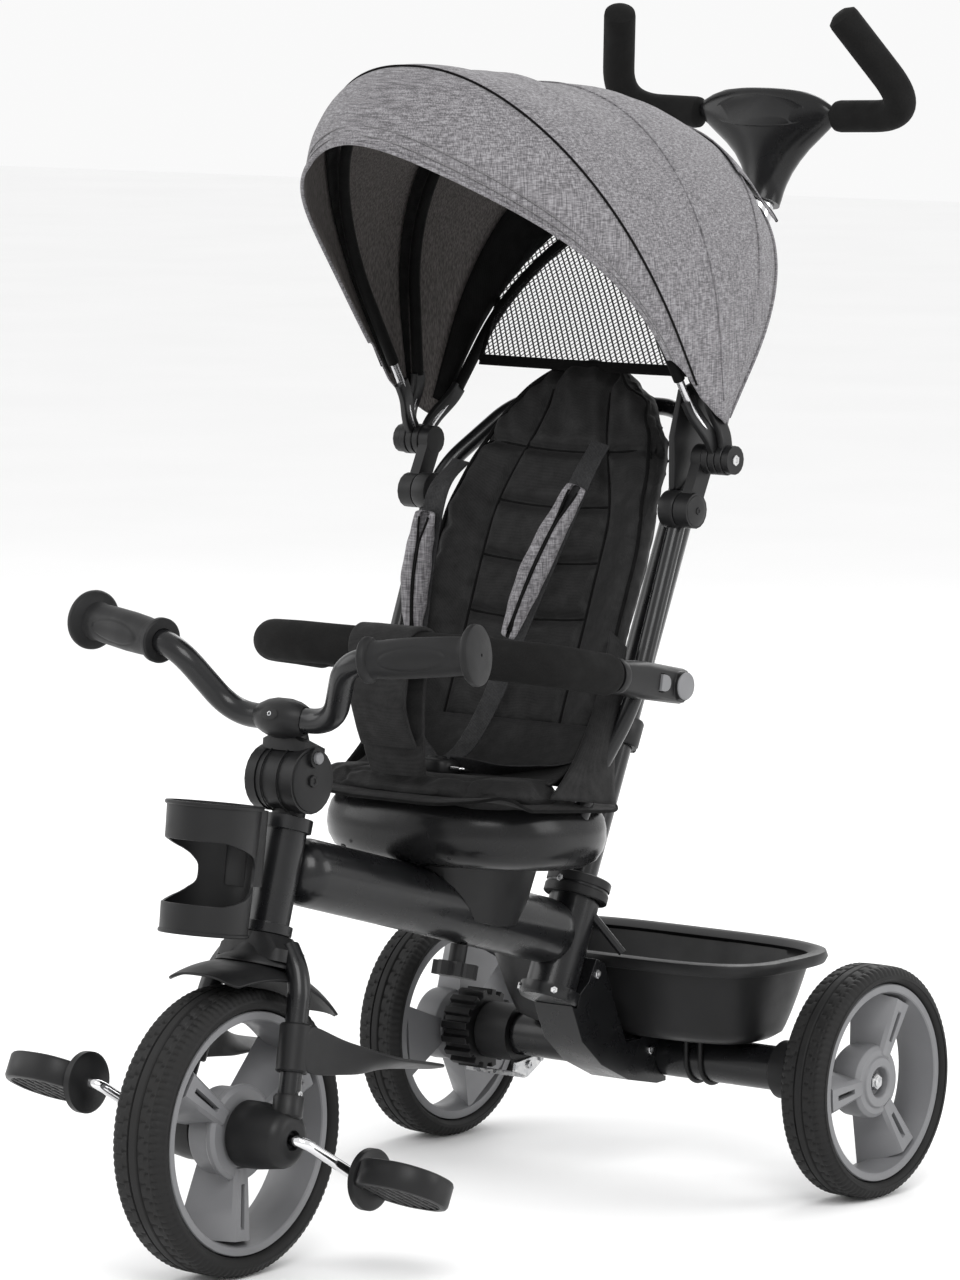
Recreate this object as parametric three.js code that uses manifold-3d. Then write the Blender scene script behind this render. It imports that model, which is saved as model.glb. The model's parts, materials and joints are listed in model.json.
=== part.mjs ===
// Children's tricycle with parent push handle, folding canopy and bumper bar.
// Millimetres, +Z up, front towards -Y, rider's left towards +X, origin on the floor
// in the middle of the tricycle's footprint.
import * as THREE from "three";
import { mergeVertices } from "three/addons/utils/BufferGeometryUtils.js";
import Module from "manifold-3d";

const wasm = await Module();
wasm.setup();

// ---------- driving dimensions ----------
const GAP = 0.4; // air left between two separate pieces that touch
const CENTRE_SHIFT = 6.1; // puts the origin midway between the front tyre and the push hub
const WHEEL_SIDES = 32; // flats round a tyre, one of them on the floor
const ROUND = 20; // sides of an ordinary round part
const BEND_STEPS = 4; // stretches in a bent tube's corner

const FRONT_WHEEL = { radius: 125, halfWidth: 29, rim: 106, hub: 38, turn: 55, y: -349.5 };
const REAR_WHEEL = { radius: 106.6, halfWidth: 24.4, rim: 90.5, hub: 33, turn: -26, x: 244, y: 262 };
const SPOKES = 3;

const RAKE = 17.5; // lean of the steering axis from vertical, degrees
const HEAD_TUBE = { outer: 19, bore: 14.4, low: 182, high: 264 };
const CUP_OUTER = 22.5; // headset cups
const DRUM = { y: -9, z: 308, radius: 29, coreHalf: 15, capHalf: 26 };
const LEG = { lowX: 62, low: 14, highX: 48, high: 138, radius: 10 }; // square to the rake
const BAR_RADIUS = 11; // handlebar tube

const MAIN_TUBE = { outer: 30, wall: 2, yFront: -248, zFront: 338, yRear: 93, zRear: 243.5 };
const COLUMN = { y: 109, z: 187, lean: 24.9, outer: 23.5, bore: 15.6, high: 90 };
const AXLE_TUBE = { outer: 20.5, wall: 2.5, halfLength: 150 };
const SHAFT_RADIUS = 5; // rear axle shaft and pedal crank rod

const SEAT = { y: -18, z: 348, pitch: 6, halfWidth: 128, front: -108, rear: 112, under: -30, top: 30 };
const BACK = { y: 23, z: 408, lean: 22.4, halfWidth: 130, foot: -26, height: 378, thick: 26 };
const BACK_TUBE = { x: 141, y: -2, radius: 8 };
const BUMPER = { y: 84, z: 480, pitch: 11, halfWidth: 160, reach: 228, foam: 17, tube: 8 };

const ELBOW = { y: 130, z: 680, radius: 13 }; // pivot of the canopy bows
const KNUCKLE = { y: -23, z: -45, radius: 17 }; // canopy arm pivot, from the elbow
const BOWS = {
  front: { angle: 32.5, width: 171, top: 404, low: 120, ring: 172, power: 0.93 },
  middle: { angle: 6, width: 174, top: 332, low: 110, ring: 179.5, power: 0.93 },
  rear: { angle: -38, width: 160, top: 293, low: 100, ring: 164.5, power: 1.04 },
};
const PUSH_TUBE = { radius: 15, bore: 12.4, low: 20, high: 660 };
const PUSH_HUB_T = 776; // where the chrome tube enters the push hub

// ---------- materials ----------
const material = (color, roughness, metalness = 0) =>
  new THREE.MeshStandardMaterial({ color, roughness, metalness });
const PAINT = () => material(0x16171a, 0.35, 0.2);
const PLASTIC = () => material(0x1c1d1f, 0.55);
const GREY_PLASTIC = () => material(0x8b8c8f, 0.5);
const TYRE = () => material(0x26272a, 0.85);
const CHROME = () => material(0xc8c8cc, 0.12, 1);
const STEEL = () => material(0xa6a8ab, 0.4, 0.9);
const FOAM = () => material(0x111113, 0.95);
const BLACK_CLOTH = () => material(0x17181b, 0.9);
const GREY_CLOTH = () => material(0x97949a, 0.95);

// ---------- shapes and solids ----------
const vec = (x, y, z) => new THREE.Vector3(x, y, z);
const radians = THREE.MathUtils.degToRad;

// A closed solid for joining and cutting, made from a three.js geometry.
function solid(geometry) {
  const bare = geometry.index ? geometry.toNonIndexed() : geometry.clone();
  bare.deleteAttribute("normal");
  bare.deleteAttribute("uv");
  const merged = mergeVertices(bare, 1e-3);
  const vertProperties = merged.attributes.position.array;
  const triVerts = new Uint32Array(merged.index.array);
  const made = new wasm.Manifold(new wasm.Mesh({ numProp: 3, vertProperties, triVerts }));
  if (made.volume() > 0) return made;
  for (let i = 0; i < triVerts.length; i += 3)
    [triVerts[i + 1], triVerts[i + 2]] = [triVerts[i + 2], triVerts[i + 1]];
  return new wasm.Manifold(new wasm.Mesh({ numProp: 3, vertProperties, triVerts }));
}

function geometryOf(made) {
  const mesh = made.getMesh();
  const geometry = new THREE.BufferGeometry();
  const positions = new THREE.BufferAttribute(new Float32Array(mesh.vertProperties), 3);
  geometry.setAttribute("position", positions);
  geometry.setIndex(new THREE.BufferAttribute(new Uint32Array(mesh.triVerts), 1));
  geometry.computeVertexNormals();
  return geometry;
}

const join = (first, ...rest) => rest.reduce((all, next) => all.add(next), first);
const cut = (first, ...rest) => rest.reduce((all, next) => all.subtract(next), first);

function box(width, depth, height, x = 0, y = 0, z = 0) {
  return solid(new THREE.BoxGeometry(width, depth, height).translate(x, y, z));
}

// A round bar or cone between two points.
function rod(from, to, radius, sides = ROUND, endRadius = radius) {
  const along = to.clone().sub(from);
  const geometry = new THREE.CylinderGeometry(endRadius, radius, along.length(), sides);
  const turn = new THREE.Quaternion().setFromUnitVectors(vec(0, 1, 0), along.normalize());
  geometry.applyQuaternion(turn);
  const middle = from.clone().add(to).multiplyScalar(0.5);
  return solid(geometry.translate(middle.x, middle.y, middle.z));
}

// A turned part: the profile holds [radius, height] pairs, turned about Z or about X.
function turned(profile, sides = ROUND, axis = "z", halfStep = false) {
  const points = profile.map(([radius, height]) => new THREE.Vector2(radius, height));
  const geometry = new THREE.LatheGeometry(points, sides);
  if (halfStep) geometry.rotateY(Math.PI / sides);
  if (axis === "z") geometry.rotateX(Math.PI / 2);
  else geometry.rotateZ(-Math.PI / 2);
  return solid(geometry);
}

function hollowTube(outer, bore, low, high, sides = ROUND, axis = "z", halfStep = false) {
  const ring = [
    [bore, low],
    [outer, low],
    [outer, high],
    [bore, high],
    [bore, low],
  ];
  return turned(ring, sides, axis, halfStep);
}

// Straight stretches joined by rounded corners, as a list of points.
function bentPath(points, bend) {
  const path = [points[0]];
  for (let i = 1; i < points.length - 1; i++) {
    const corner = points[i];
    const before = corner.clone().lerp(points[i - 1], bend / corner.distanceTo(points[i - 1]));
    const after = corner.clone().lerp(points[i + 1], bend / corner.distanceTo(points[i + 1]));
    path.push(...new THREE.QuadraticBezierCurve3(before, corner, after).getPoints(BEND_STEPS));
  }
  path.push(points[points.length - 1]);
  return path;
}

// A round bar along a list of points.
function sweep(path, radius, sides = 8) {
  const side = vec(0.31, 0.52, 0.79);
  const rings = path.map((point, k) => {
    const before = path[Math.max(k - 1, 0)];
    const after = path[Math.min(k + 1, path.length - 1)];
    const into = point.clone().sub(before).normalize();
    const out = after.clone().sub(point).normalize();
    const along = into.add(out).normalize();
    side.addScaledVector(along, -side.dot(along)).normalize();
    const up = along.clone().cross(side);
    const ring = [];
    for (let i = 0; i < sides; i++) {
      const angle = (2 * Math.PI * i) / sides;
      const corner = point.clone().addScaledVector(side, radius * Math.cos(angle));
      ring.push(corner.addScaledVector(up, radius * Math.sin(angle)));
    }
    return ring;
  });
  return loft(rings);
}

// A side outline in (y, z), given thickness along X and centred on x.
function sidePlate(outline, thickness, x = 0) {
  const shape = new THREE.Shape(outline.map(([y, z]) => new THREE.Vector2(y, z)));
  const geometry = new THREE.ExtrudeGeometry(shape, { depth: thickness, bevelEnabled: false });
  geometry.translate(0, 0, x - thickness / 2);
  geometry.applyMatrix4(new THREE.Matrix4().makeBasis(vec(0, 1, 0), vec(0, 0, 1), vec(1, 0, 0)));
  return solid(geometry);
}

// A skin through rings of points with the same count, closed flat at both ends.
function loft(rings) {
  const count = rings[0].length;
  const positions = [];
  const triangle = (a, b, c) => positions.push(...a.toArray(), ...b.toArray(), ...c.toArray());
  for (let r = 0; r < rings.length - 1; r++)
    for (let i = 0; i < count; i++) {
      const next = (i + 1) % count;
      triangle(rings[r][i], rings[r][next], rings[r + 1][next]);
      triangle(rings[r][i], rings[r + 1][next], rings[r + 1][i]);
    }
  const last = rings[rings.length - 1];
  for (let i = 1; i < count - 1; i++) {
    triangle(rings[0][0], rings[0][i + 1], rings[0][i]);
    triangle(last[0], last[i], last[i + 1]);
  }
  const geometry = new THREE.BufferGeometry();
  geometry.setAttribute("position", new THREE.Float32BufferAttribute(positions, 3));
  return solid(geometry);
}

// A rounded rectangle or oval in the XY plane: power 2 is an ellipse, more is squarer.
function ovalRing(halfX, halfY, z, count = 24, power = 2, centreY = 0) {
  const ring = [];
  for (let i = 0; i < count; i++) {
    const angle = (2 * Math.PI * (i + 0.5)) / count;
    const c = Math.cos(angle);
    const s = Math.sin(angle);
    const x = halfX * Math.sign(c) * Math.abs(c) ** (2 / power);
    const y = halfY * Math.sign(s) * Math.abs(s) ** (2 / power);
    ring.push(vec(x, centreY + y, z));
  }
  return ring;
}

const trike = new THREE.Group();
trike.position.y = CENTRE_SHIFT;

function add(group, name, made, look) {
  const mesh = new THREE.Mesh(geometryOf(made), look);
  mesh.name = name;
  group.add(mesh);
  return mesh;
}

function subGroup(x, y, z, pitch = 0) {
  const group = new THREE.Group();
  group.position.set(x, y, z);
  group.rotation.x = -radians(pitch);
  trike.add(group);
  return group;
}

const SIDES = [
  ["left", 1],
  ["right", -1],
];

// ---------- wheels ----------
function tyre(wheel) {
  const crown = wheel.radius / Math.cos(Math.PI / WHEEL_SIDES);
  const w = wheel.halfWidth;
  const profile = [
    [wheel.rim, -w + 6],
    [wheel.rim + 6, -w],
    [crown - 7, -w],
    [crown, -w + 11],
    [crown, w - 11],
    [crown - 7, w],
    [wheel.rim + 6, w],
    [wheel.rim, w - 6],
    [wheel.rim, -w + 6],
  ];
  return turned(profile, WHEEL_SIDES, "x", true);
}

// A rim with wedge spokes, narrow on the outer face and wide behind; outward is 1 or -1 along X.
function rim(wheel, hubLow, hubHigh, outward) {
  const edge = wheel.rim - GAP;
  const w = wheel.halfWidth - 6;
  const ring = hollowTube(edge, edge - 9, -w, w, WHEEL_SIDES, "x", true);
  const parts = [rod(vec(hubLow, 0, 0), vec(hubHigh, 0, 0), wheel.hub, ROUND)];
  const section = (radius, back, front) =>
    [
      [3 - w, -back],
      [w - 6, -front],
      [w - 6, front],
      [3 - w, back],
    ].map(([x, y]) => vec(outward * x, y, radius));
  const widest = 0.34 * edge;
  const reach = Math.sqrt((edge - 1.5) ** 2 - widest ** 2); // the corners end inside the ring
  for (let i = 0; i < SPOKES; i++) {
    const spoke = loft([section(12, 18, 8), section(reach, widest, 10)]);
    parts.push(spoke.rotate([wheel.turn + (360 * i) / SPOKES, 0, 0]));
  }
  const bore = rod(vec(hubLow - 1, 0, 0), vec(hubHigh + 1, 0, 0), SHAFT_RADIUS + GAP, 12);
  return cut(join(ring, ...parts), bore);
}

function frontWheel() {
  const axle = subGroup(0, FRONT_WHEEL.y, FRONT_WHEEL.radius);
  add(axle, "tyre_front", tyre(FRONT_WHEEL), TYRE());
  add(axle, "rim_front", rim(FRONT_WHEEL, -18, 18, 1), GREY_PLASTIC());
  const crank = [
    vec(-186, -57, 38),
    vec(-98, -57, 38),
    vec(-84, 0, 0),
    vec(84, 0, 0),
    vec(98, 57, -38),
    vec(186, 57, -38),
  ];
  add(axle, "crank_rod", sweep(bentPath(crank, 9), SHAFT_RADIUS), CHROME());
  for (const [side, sign] of SIDES) {
    const hinge = new THREE.Group();
    hinge.position.set(0, sign * 57, -sign * 38);
    hinge.rotation.x = -radians(26);
    axle.add(hinge);
    add(hinge, "pedal_" + side, pedal(sign), PLASTIC());
  }
}

function pedal(sign) {
  const outline = [
    [8, 22],
    [30, 37],
    [56, 38],
    [76, 30],
    [88, 17],
  ];
  const tread = [...outline, ...outline.map(([x, y]) => [x, -y]).reverse()];
  const shape = new THREE.Shape(tread.map(([x, y]) => new THREE.Vector2(sign * (102 + x), y)));
  const block = new THREE.ExtrudeGeometry(shape, { depth: 24, bevelEnabled: false });
  const disc = rod(vec(sign * 107, 0, 0), vec(sign * 117, 0, 0), 27, 18);
  const bore = rod(vec(sign * 100, 0, 0), vec(sign * 187, 0, 0), SHAFT_RADIUS + 2 * GAP, 10);
  return cut(join(solid(block.translate(0, 0, -12)), disc), bore);
}

function rearWheels() {
  for (const [side, sign] of SIDES) {
    const axle = subGroup(sign * REAR_WHEEL.x, REAR_WHEEL.y, REAR_WHEEL.radius);
    add(axle, "tyre_rear_" + side, tyre(REAR_WHEEL), TYRE());
    const hub = sign > 0 ? [-20, 17] : [-17, 20];
    add(axle, "rim_rear_" + side, rim(REAR_WHEEL, ...hub, sign), GREY_PLASTIC());
  }
}

// ---------- fork, headset and handlebar, all square to the raked steering axis ----------
function headset(steer) {
  const { outer, bore, low, high } = HEAD_TUBE;
  const profile = [
    [bore, low - 9],
    [CUP_OUTER, low - 9],
    [CUP_OUTER, low],
    [outer, low],
    [outer, high],
    [CUP_OUTER, high],
    [CUP_OUTER, high + 12],
    [bore, high + 12],
    [bore, low - 9],
  ];
  add(steer, "head_tube", turned(profile), PAINT());
}

function legSolid(sign, radius) {
  const path = [
    vec(sign * LEG.lowX, 0, LEG.low),
    vec(sign * LEG.highX, 0, LEG.high),
    vec(sign * 28, 0, 163),
  ];
  return sweep(bentPath(path, 14), radius, 12);
}

function fork(steer) {
  const steerer = rod(vec(0, 0, 160), vec(0, 0, HEAD_TUBE.high + 12), HEAD_TUBE.bore - 0.5);
  const crown = loft([
    ovalRing(38, 24, 149, 20, 4),
    ovalRing(36, 24, 160, 20, 4),
    ovalRing(24, 22, 172, 20, 2.4),
  ]);
  const sockets = SIDES.map(([, sign]) => legSolid(sign, LEG.radius + GAP));
  add(steer, "fork_crown", join(cut(crown, ...sockets), steerer), PLASTIC());
  for (const [side, sign] of SIDES) {
    const housing = housingProfile(0).map(([r, x]) => [r, sign * x]);
    const around = housingProfile(GAP).map(([r, x]) => [r, sign * x]);
    const bore = rod(vec(sign * 10, 0, 0), vec(sign * 90, 0, 0), SHAFT_RADIUS + GAP, 12);
    add(steer, "axle_housing_" + side, cut(turned(housing, ROUND, "x"), bore), PLASTIC());
    const leg = cut(legSolid(sign, LEG.radius), turned(around, ROUND, "x"));
    add(steer, "fork_leg_" + side, leg, PAINT());
  }
  const arc = [];
  for (const [radius, from, to] of [[145.5, -32, 32], [142.5, 32, -32]])
    for (let i = 0; i <= 12; i++) {
      const angle = radians(90 + from + ((to - from) * i) / 12);
      arc.push([radius * Math.cos(angle), radius * Math.sin(angle)]);
    }
  add(steer, "fender", cut(sidePlate(arc, 66), ...sockets), PLASTIC());
}

function housingProfile(margin) {
  return [
    [0, 20 - margin],
    [33 + margin, 20 - margin],
    [33 + margin, 36],
    [26 + margin, 66],
    [20 + margin, 73 + margin],
    [0, 73 + margin],
  ];
}

// A footrest: a band round the fork leg and a blade that turns from upright to flat.
function footrests(steer) {
  const splay = Math.atan2(LEG.highX - LEG.lowX, LEG.high - LEG.low);
  const bandZ = 78;
  const bandX = LEG.lowX + (bandZ - LEG.low) * Math.tan(splay);
  for (const [side, sign] of SIDES) {
    const holder = new THREE.Group();
    holder.position.set(sign * bandX, 0, bandZ);
    holder.rotation.y = sign * splay;
    steer.add(holder);
    const band = hollowTube(14.5, LEG.radius + GAP, -21, 21, 14);
    const sections = [
      { y: 10, x: 9, z: 0, half: 21, thick: 5, turn: 90 },
      { y: 45, x: 17, z: -1, half: 15, thick: 5, turn: 84 },
      { y: 78, x: 24, z: 0, half: 13, thick: 5, turn: 50 },
      { y: 108, x: 29, z: 4, half: 14, thick: 5, turn: 12 },
      { y: 150, x: 31, z: 9, half: 13, thick: 4, turn: 6 },
      { y: 168, x: 31, z: 11, half: 8, thick: 4, turn: 6 },
    ];
    const rings = sections.map((s) => {
      const along = vec(Math.cos(radians(s.turn)), 0, Math.sin(radians(s.turn)));
      const across = vec(-along.z, 0, along.x);
      return [[-1, -1], [1, -1], [1, 1], [-1, 1]].map(([a, b]) => {
        const p = vec(s.x, s.y, s.z).addScaledVector(along, a * s.half);
        p.addScaledVector(across, (b * s.thick) / 2);
        return vec(sign * p.x, p.y, p.z);
      });
    });
    add(holder, "footrest_" + side, join(band, loft(rings)), PLASTIC());
  }
}

// The hinge drum lets the handlebar tilt: the clamp's two ears turn on the drum's core.
function handlebar(steer) {
  const { y, z, radius, coreHalf, capHalf } = DRUM;
  const core = rod(vec(-coreHalf, y, z), vec(coreHalf, y, z), radius - 1.2, 24);
  const neck = rod(vec(0, 0, HEAD_TUBE.high + 12 + GAP), vec(0, 0, z - 20), 14.6);
  add(steer, "drum_core", join(core, neck), PLASTIC());
  const inner = coreHalf + GAP;
  const ears = SIDES.map(([, sign]) =>
    rod(vec(sign * inner, y, z), vec(sign * capHalf, y, z), radius, 24),
  );
  const boss = rod(vec(inner, y - 3, z + 20), vec(capHalf + 4, y - 3, z + 20), 9, 14);
  const buttonAt = (x) => vec(x, y - 3, z + 20);
  const well = rod(buttonAt(capHalf - 5), buttonAt(capHalf + 5), 5.4 + GAP, 12);
  const socket = rod(vec(capHalf - 2, y, z), vec(capHalf + 2, y, z), 4.5, 6);
  const button = rod(buttonAt(capHalf - 0.5), buttonAt(capHalf + 9), 5.4, 12);
  add(steer, "tilt_button", button, GREY_PLASTIC());

  const barPoints = [
    vec(-212, -57, 423),
    vec(-95, -80.4, 404.3),
    vec(-56, -31, 357),
    vec(56, -31, 357),
    vec(95, -80.4, 404.3),
    vec(212, -57, 423),
  ];
  const bar = bentPath(barPoints, 17);
  add(steer, "handlebar", sweep(bar, BAR_RADIUS, 10), PAINT());
  const egg = solid(new THREE.SphereGeometry(1, 18, 10).scale(32, 21, 18).translate(0, -31, 357));
  const bridge = loft([
    ovalRing(capHalf, 19, z + radius - 9, 16, 4, y),
    ovalRing(capHalf, 19, z + radius + 2, 16, 4, y - 2),
    ovalRing(17, 13, z + radius + 6, 16, 3, y - 9),
    ovalRing(16, 13, z + radius + 16, 16, 3, y - 15),
  ]);
  const coreRoom = rod(vec(-inner, y, z), vec(inner, y, z), radius, 24);
  const barRoom = rod(vec(-39, -31, 357), vec(39, -31, 357), BAR_RADIUS + GAP + 0.4, 12);
  const clevis = cut(join(bridge, ...ears, boss), coreRoom, well, socket);
  const clamp = cut(join(clevis, egg), barRoom);
  add(steer, "handlebar_clamp", clamp, PLASTIC());
  for (const [side, sign] of SIDES) grip(steer, side, sign);
}

function grip(steer, side, sign) {
  const from = vec(sign * 113, -76.8, 407.2);
  const to = vec(sign * 212, -57, 423);
  const length = from.distanceTo(to);
  const bore = BAR_RADIUS + 2 * GAP;
  const profile = [
    [bore, 0],
    [20, 0],
    [20, 7],
    [16.5, 10],
    [17.5, length / 2],
    [16.5, length - 6],
    [25.5, length],
    [26.5, length + 5],
    [0, length + 7],
    [0, length + GAP],
    [bore, length + GAP],
    [bore, 0],
  ];
  const holder = new THREE.Group();
  holder.position.copy(from);
  const along = to.clone().sub(from).normalize();
  holder.quaternion.setFromUnitVectors(vec(0, 0, 1), along);
  steer.add(holder);
  add(holder, "grip_" + side, turned(profile, 16), FOAM());
}

// Bottle holder: an upper band and a lower cup joined by a back wall.
function cupHolder(steer) {
  const lean = subGroup(0, -381, 300, 8.5);
  const height = 112;
  const wall = turned(
    [
      [0, 0],
      [38, 0],
      [41, height],
      [38, height],
      [35.4, 3],
      [0, 3],
    ],
    22,
  );
  const opening = [
    [-60, 25],
    [-22, 25],
    [-4, 33],
    [4, 52],
    [-2, 70],
    [-20, 80],
    [-60, 80],
  ];
  const neck = box(26, 46, 66, 0, 58, 76);
  const keepOut = turned([[0, -2], [CUP_OUTER + GAP, -2], [CUP_OUTER + GAP, 290], [0, 290]], ROUND);
  const bore = turned([[0, 3], [35.4, 3], [38, height + 1], [0, height + 1]], 22);
  const holder = cut(join(wall, neck), sidePlate(opening, 100), bore);
  const mesh = add(lean, "cup_holder", holder, PLASTIC());
  trimBy(mesh, steer, keepOut);
}

// A solid given in one group's frame, as seen from a mesh in another group.
function seenFrom(mesh, group, tool) {
  trike.updateMatrixWorld(true);
  const matrix = mesh.matrixWorld.clone().invert().multiply(group.matrixWorld);
  return solid(geometryOf(tool).applyMatrix4(matrix));
}

function trimBy(mesh, group, tool) {
  mesh.geometry = geometryOf(cut(solid(mesh.geometry), seenFrom(mesh, group, tool)));
}

function joinTo(mesh, group, extra) {
  mesh.geometry = geometryOf(join(solid(mesh.geometry), seenFrom(mesh, group, extra)));
}

// ---------- frame ----------
function mainTube(steer, column) {
  const from = vec(0, MAIN_TUBE.yFront, MAIN_TUBE.zFront);
  const to = vec(0, MAIN_TUBE.yRear, MAIN_TUBE.zRear);
  const reach = to.clone().sub(from).normalize().multiplyScalar(30);
  const outer = rod(from.clone(), to.clone().add(reach), MAIN_TUBE.outer, 24);
  const low = from.clone().sub(reach);
  const high = to.clone().addScaledVector(reach, 2);
  const inner = rod(low, high, MAIN_TUBE.outer - MAIN_TUBE.wall, 24);
  const mesh = add(trike, "main_tube", cut(outer, inner), PAINT());
  const headTube = rod(vec(0, 0, 150), vec(0, 0, 290), HEAD_TUBE.outer + GAP);
  trimBy(mesh, steer, headTube);
  const post = rod(vec(0, 0, -20), vec(0, 0, 140), COLUMN.outer + GAP, 24);
  trimBy(mesh, column, join(post, rod(vec(0, 60, -60), vec(0, 60, 200), 60, 24)));
}

function rearColumn(column) {
  const { outer, bore, high } = COLUMN;
  const profile = [
    [0, -12],
    [26, -12],
    [28, -9],
    [28, 0],
    [outer, 0],
    [outer, high],
    [29, high],
    [29, high + 13],
    [bore, high + 13],
    [bore, 10],
    [0, 10],
  ];
  const mesh = add(column, "rear_column", turned(profile), PAINT());
  for (const [, sign] of SIDES) {
    const stay = rod(vec(sign * 15, 146, 256), vec(sign * 44, 160, 217), 4, 8);
    joinTo(mesh, trike, stay);
  }
  const socket = rod(vec(0, 0, 10), vec(0, 0, high + 20), bore, 24);
  trimBy(mesh, column, socket);
}

function rearAxle(column) {
  const axle = subGroup(0, REAR_WHEEL.y, REAR_WHEEL.radius);
  const { outer, wall, halfLength } = AXLE_TUBE;
  add(axle, "rear_axle_tube", hollowTube(outer, outer - wall, -halfLength, 186, 24, "x"), PAINT());
  const nutFace = 261 + GAP;
  const shaft = rod(vec(-nutFace, 0, 0), vec(nutFace, 0, 0), SHAFT_RADIUS, 10);
  const nuts = SIDES.map(([, sign]) =>
    rod(vec(sign * nutFace, 0, 0), vec(sign * (nutFace + 6), 0, 0), 11, 6),
  );
  add(axle, "rear_axle_shaft", join(shaft, ...nuts), STEEL());
  const outline = [
    [-150, 66],
    [-124, 84],
    [-112, 104],
    [-99, 98],
    [-86, 62],
    [-66, 20],
    [-4, 22.6],
    [-4, -25],
    [-18, -25.5],
    [-62, -16],
    [-104, 4],
    [-134, 30],
  ];
  const axleHole = rod(vec(-60, 0, 0), vec(60, 0, 0), outer + GAP, 24);
  const web = sidePlate(outline, 44);
  const mesh = add(axle, "axle_gusset", cut(web, axleHole), PAINT());
  const post = rod(vec(0, 0, -10), vec(0, 0, 140), COLUMN.outer + GAP, 24);
  const base = rod(vec(0, 0, -12 - GAP), vec(0, 0, GAP), 28 + GAP, 24);
  trimBy(mesh, column, join(post, base));
}

// The parking brake: a toothed drum on the right wheel and a foot lever below the axle.
function parkingBrake() {
  const axle = subGroup(0, REAR_WHEEL.y, REAR_WHEEL.radius);
  const shape = new THREE.Shape();
  const teeth = 16;
  for (let i = 0; i < teeth; i++)
    [[-0.3, 33], [-0.22, 38], [0.22, 38], [0.3, 33]].forEach(([turn, radius], k) => {
      const angle = (2 * Math.PI * (i + 0.5 + turn)) / teeth - Math.PI / 2;
      const place = [radius * Math.cos(angle), radius * Math.sin(angle)];
      if (i === 0 && k === 0) shape.moveTo(...place);
      else shape.lineTo(...place);
    });
  const ring = new THREE.ExtrudeGeometry(shape, { depth: 30, bevelEnabled: false });
  ring.rotateY(-Math.PI / 2);
  const bore = rod(vec(-240, 0, 0), vec(-180, 0, 0), SHAFT_RADIUS + GAP, 12);
  add(axle, "brake_drum", cut(solid(ring.translate(-189, 0, 0)), bore), PLASTIC());

  const ear = sidePlate(
    [
      [-12, -20],
      [16, -20],
      [26, -29],
      [20, -35],
      [-10, -30],
    ],
    5,
    -153,
  );
  const block = rod(vec(-AXLE_TUBE.halfLength - GAP, 0, 0), vec(-187, 0, 0), 27, 20);
  const throughBore = rod(vec(-200, 0, 0), vec(-140, 0, 0), SHAFT_RADIUS + GAP, 12);
  const tubeRoom = rod(vec(-150 - GAP, 0, 0), vec(-130, 0, 0), AXLE_TUBE.outer + GAP, 24);
  add(axle, "brake_housing", cut(join(block, ear), throughBore, tubeRoom), PLASTIC());
  const plate = sidePlate(
    [
      [-16, -34],
      [4, -42],
      [20, -34],
      [40, -20],
      [34, -14],
      [16, -24],
      [-14, -26],
    ],
    3,
    -148,
  );
  const tongue = box(70, 4, 4, -182, 1.5, -40.6);
  add(axle, "brake_lever", join(plate, tongue), STEEL());
}

function basket() {
  const place = subGroup(0, 260.5, 130);
  const outer = [
    ovalRing(132, 52, 0, 20, 3.4),
    ovalRing(140, 60, 6, 20, 3.4),
    ovalRing(158, 80, 70, 20, 3.6),
    ovalRing(162, 83, 76, 20, 3.6),
    ovalRing(170, 90, 76.5, 20, 3.6),
    ovalRing(170, 90, 80.5, 20, 3.6),
  ];
  const inner = [
    ovalRing(129, 49, 3, 20, 3.4),
    ovalRing(137, 57, 9, 20, 3.4),
    ovalRing(155, 77, 70, 20, 3.6),
    ovalRing(161, 82, 81, 20, 3.6),
  ];
  const straps = SIDES.map(([, sign]) => box(9, 50, 27, sign * 66, 5, -13));
  const y = REAR_WHEEL.y - 260.5;
  const z = REAR_WHEEL.radius - 130;
  const axleRoom = rod(vec(-90, y, z), vec(90, y, z), AXLE_TUBE.outer + GAP, 24);
  const moulding = cut(join(loft(outer), ...straps), loft(inner), axleRoom);
  add(place, "basket", moulding, PLASTIC());
}

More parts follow.
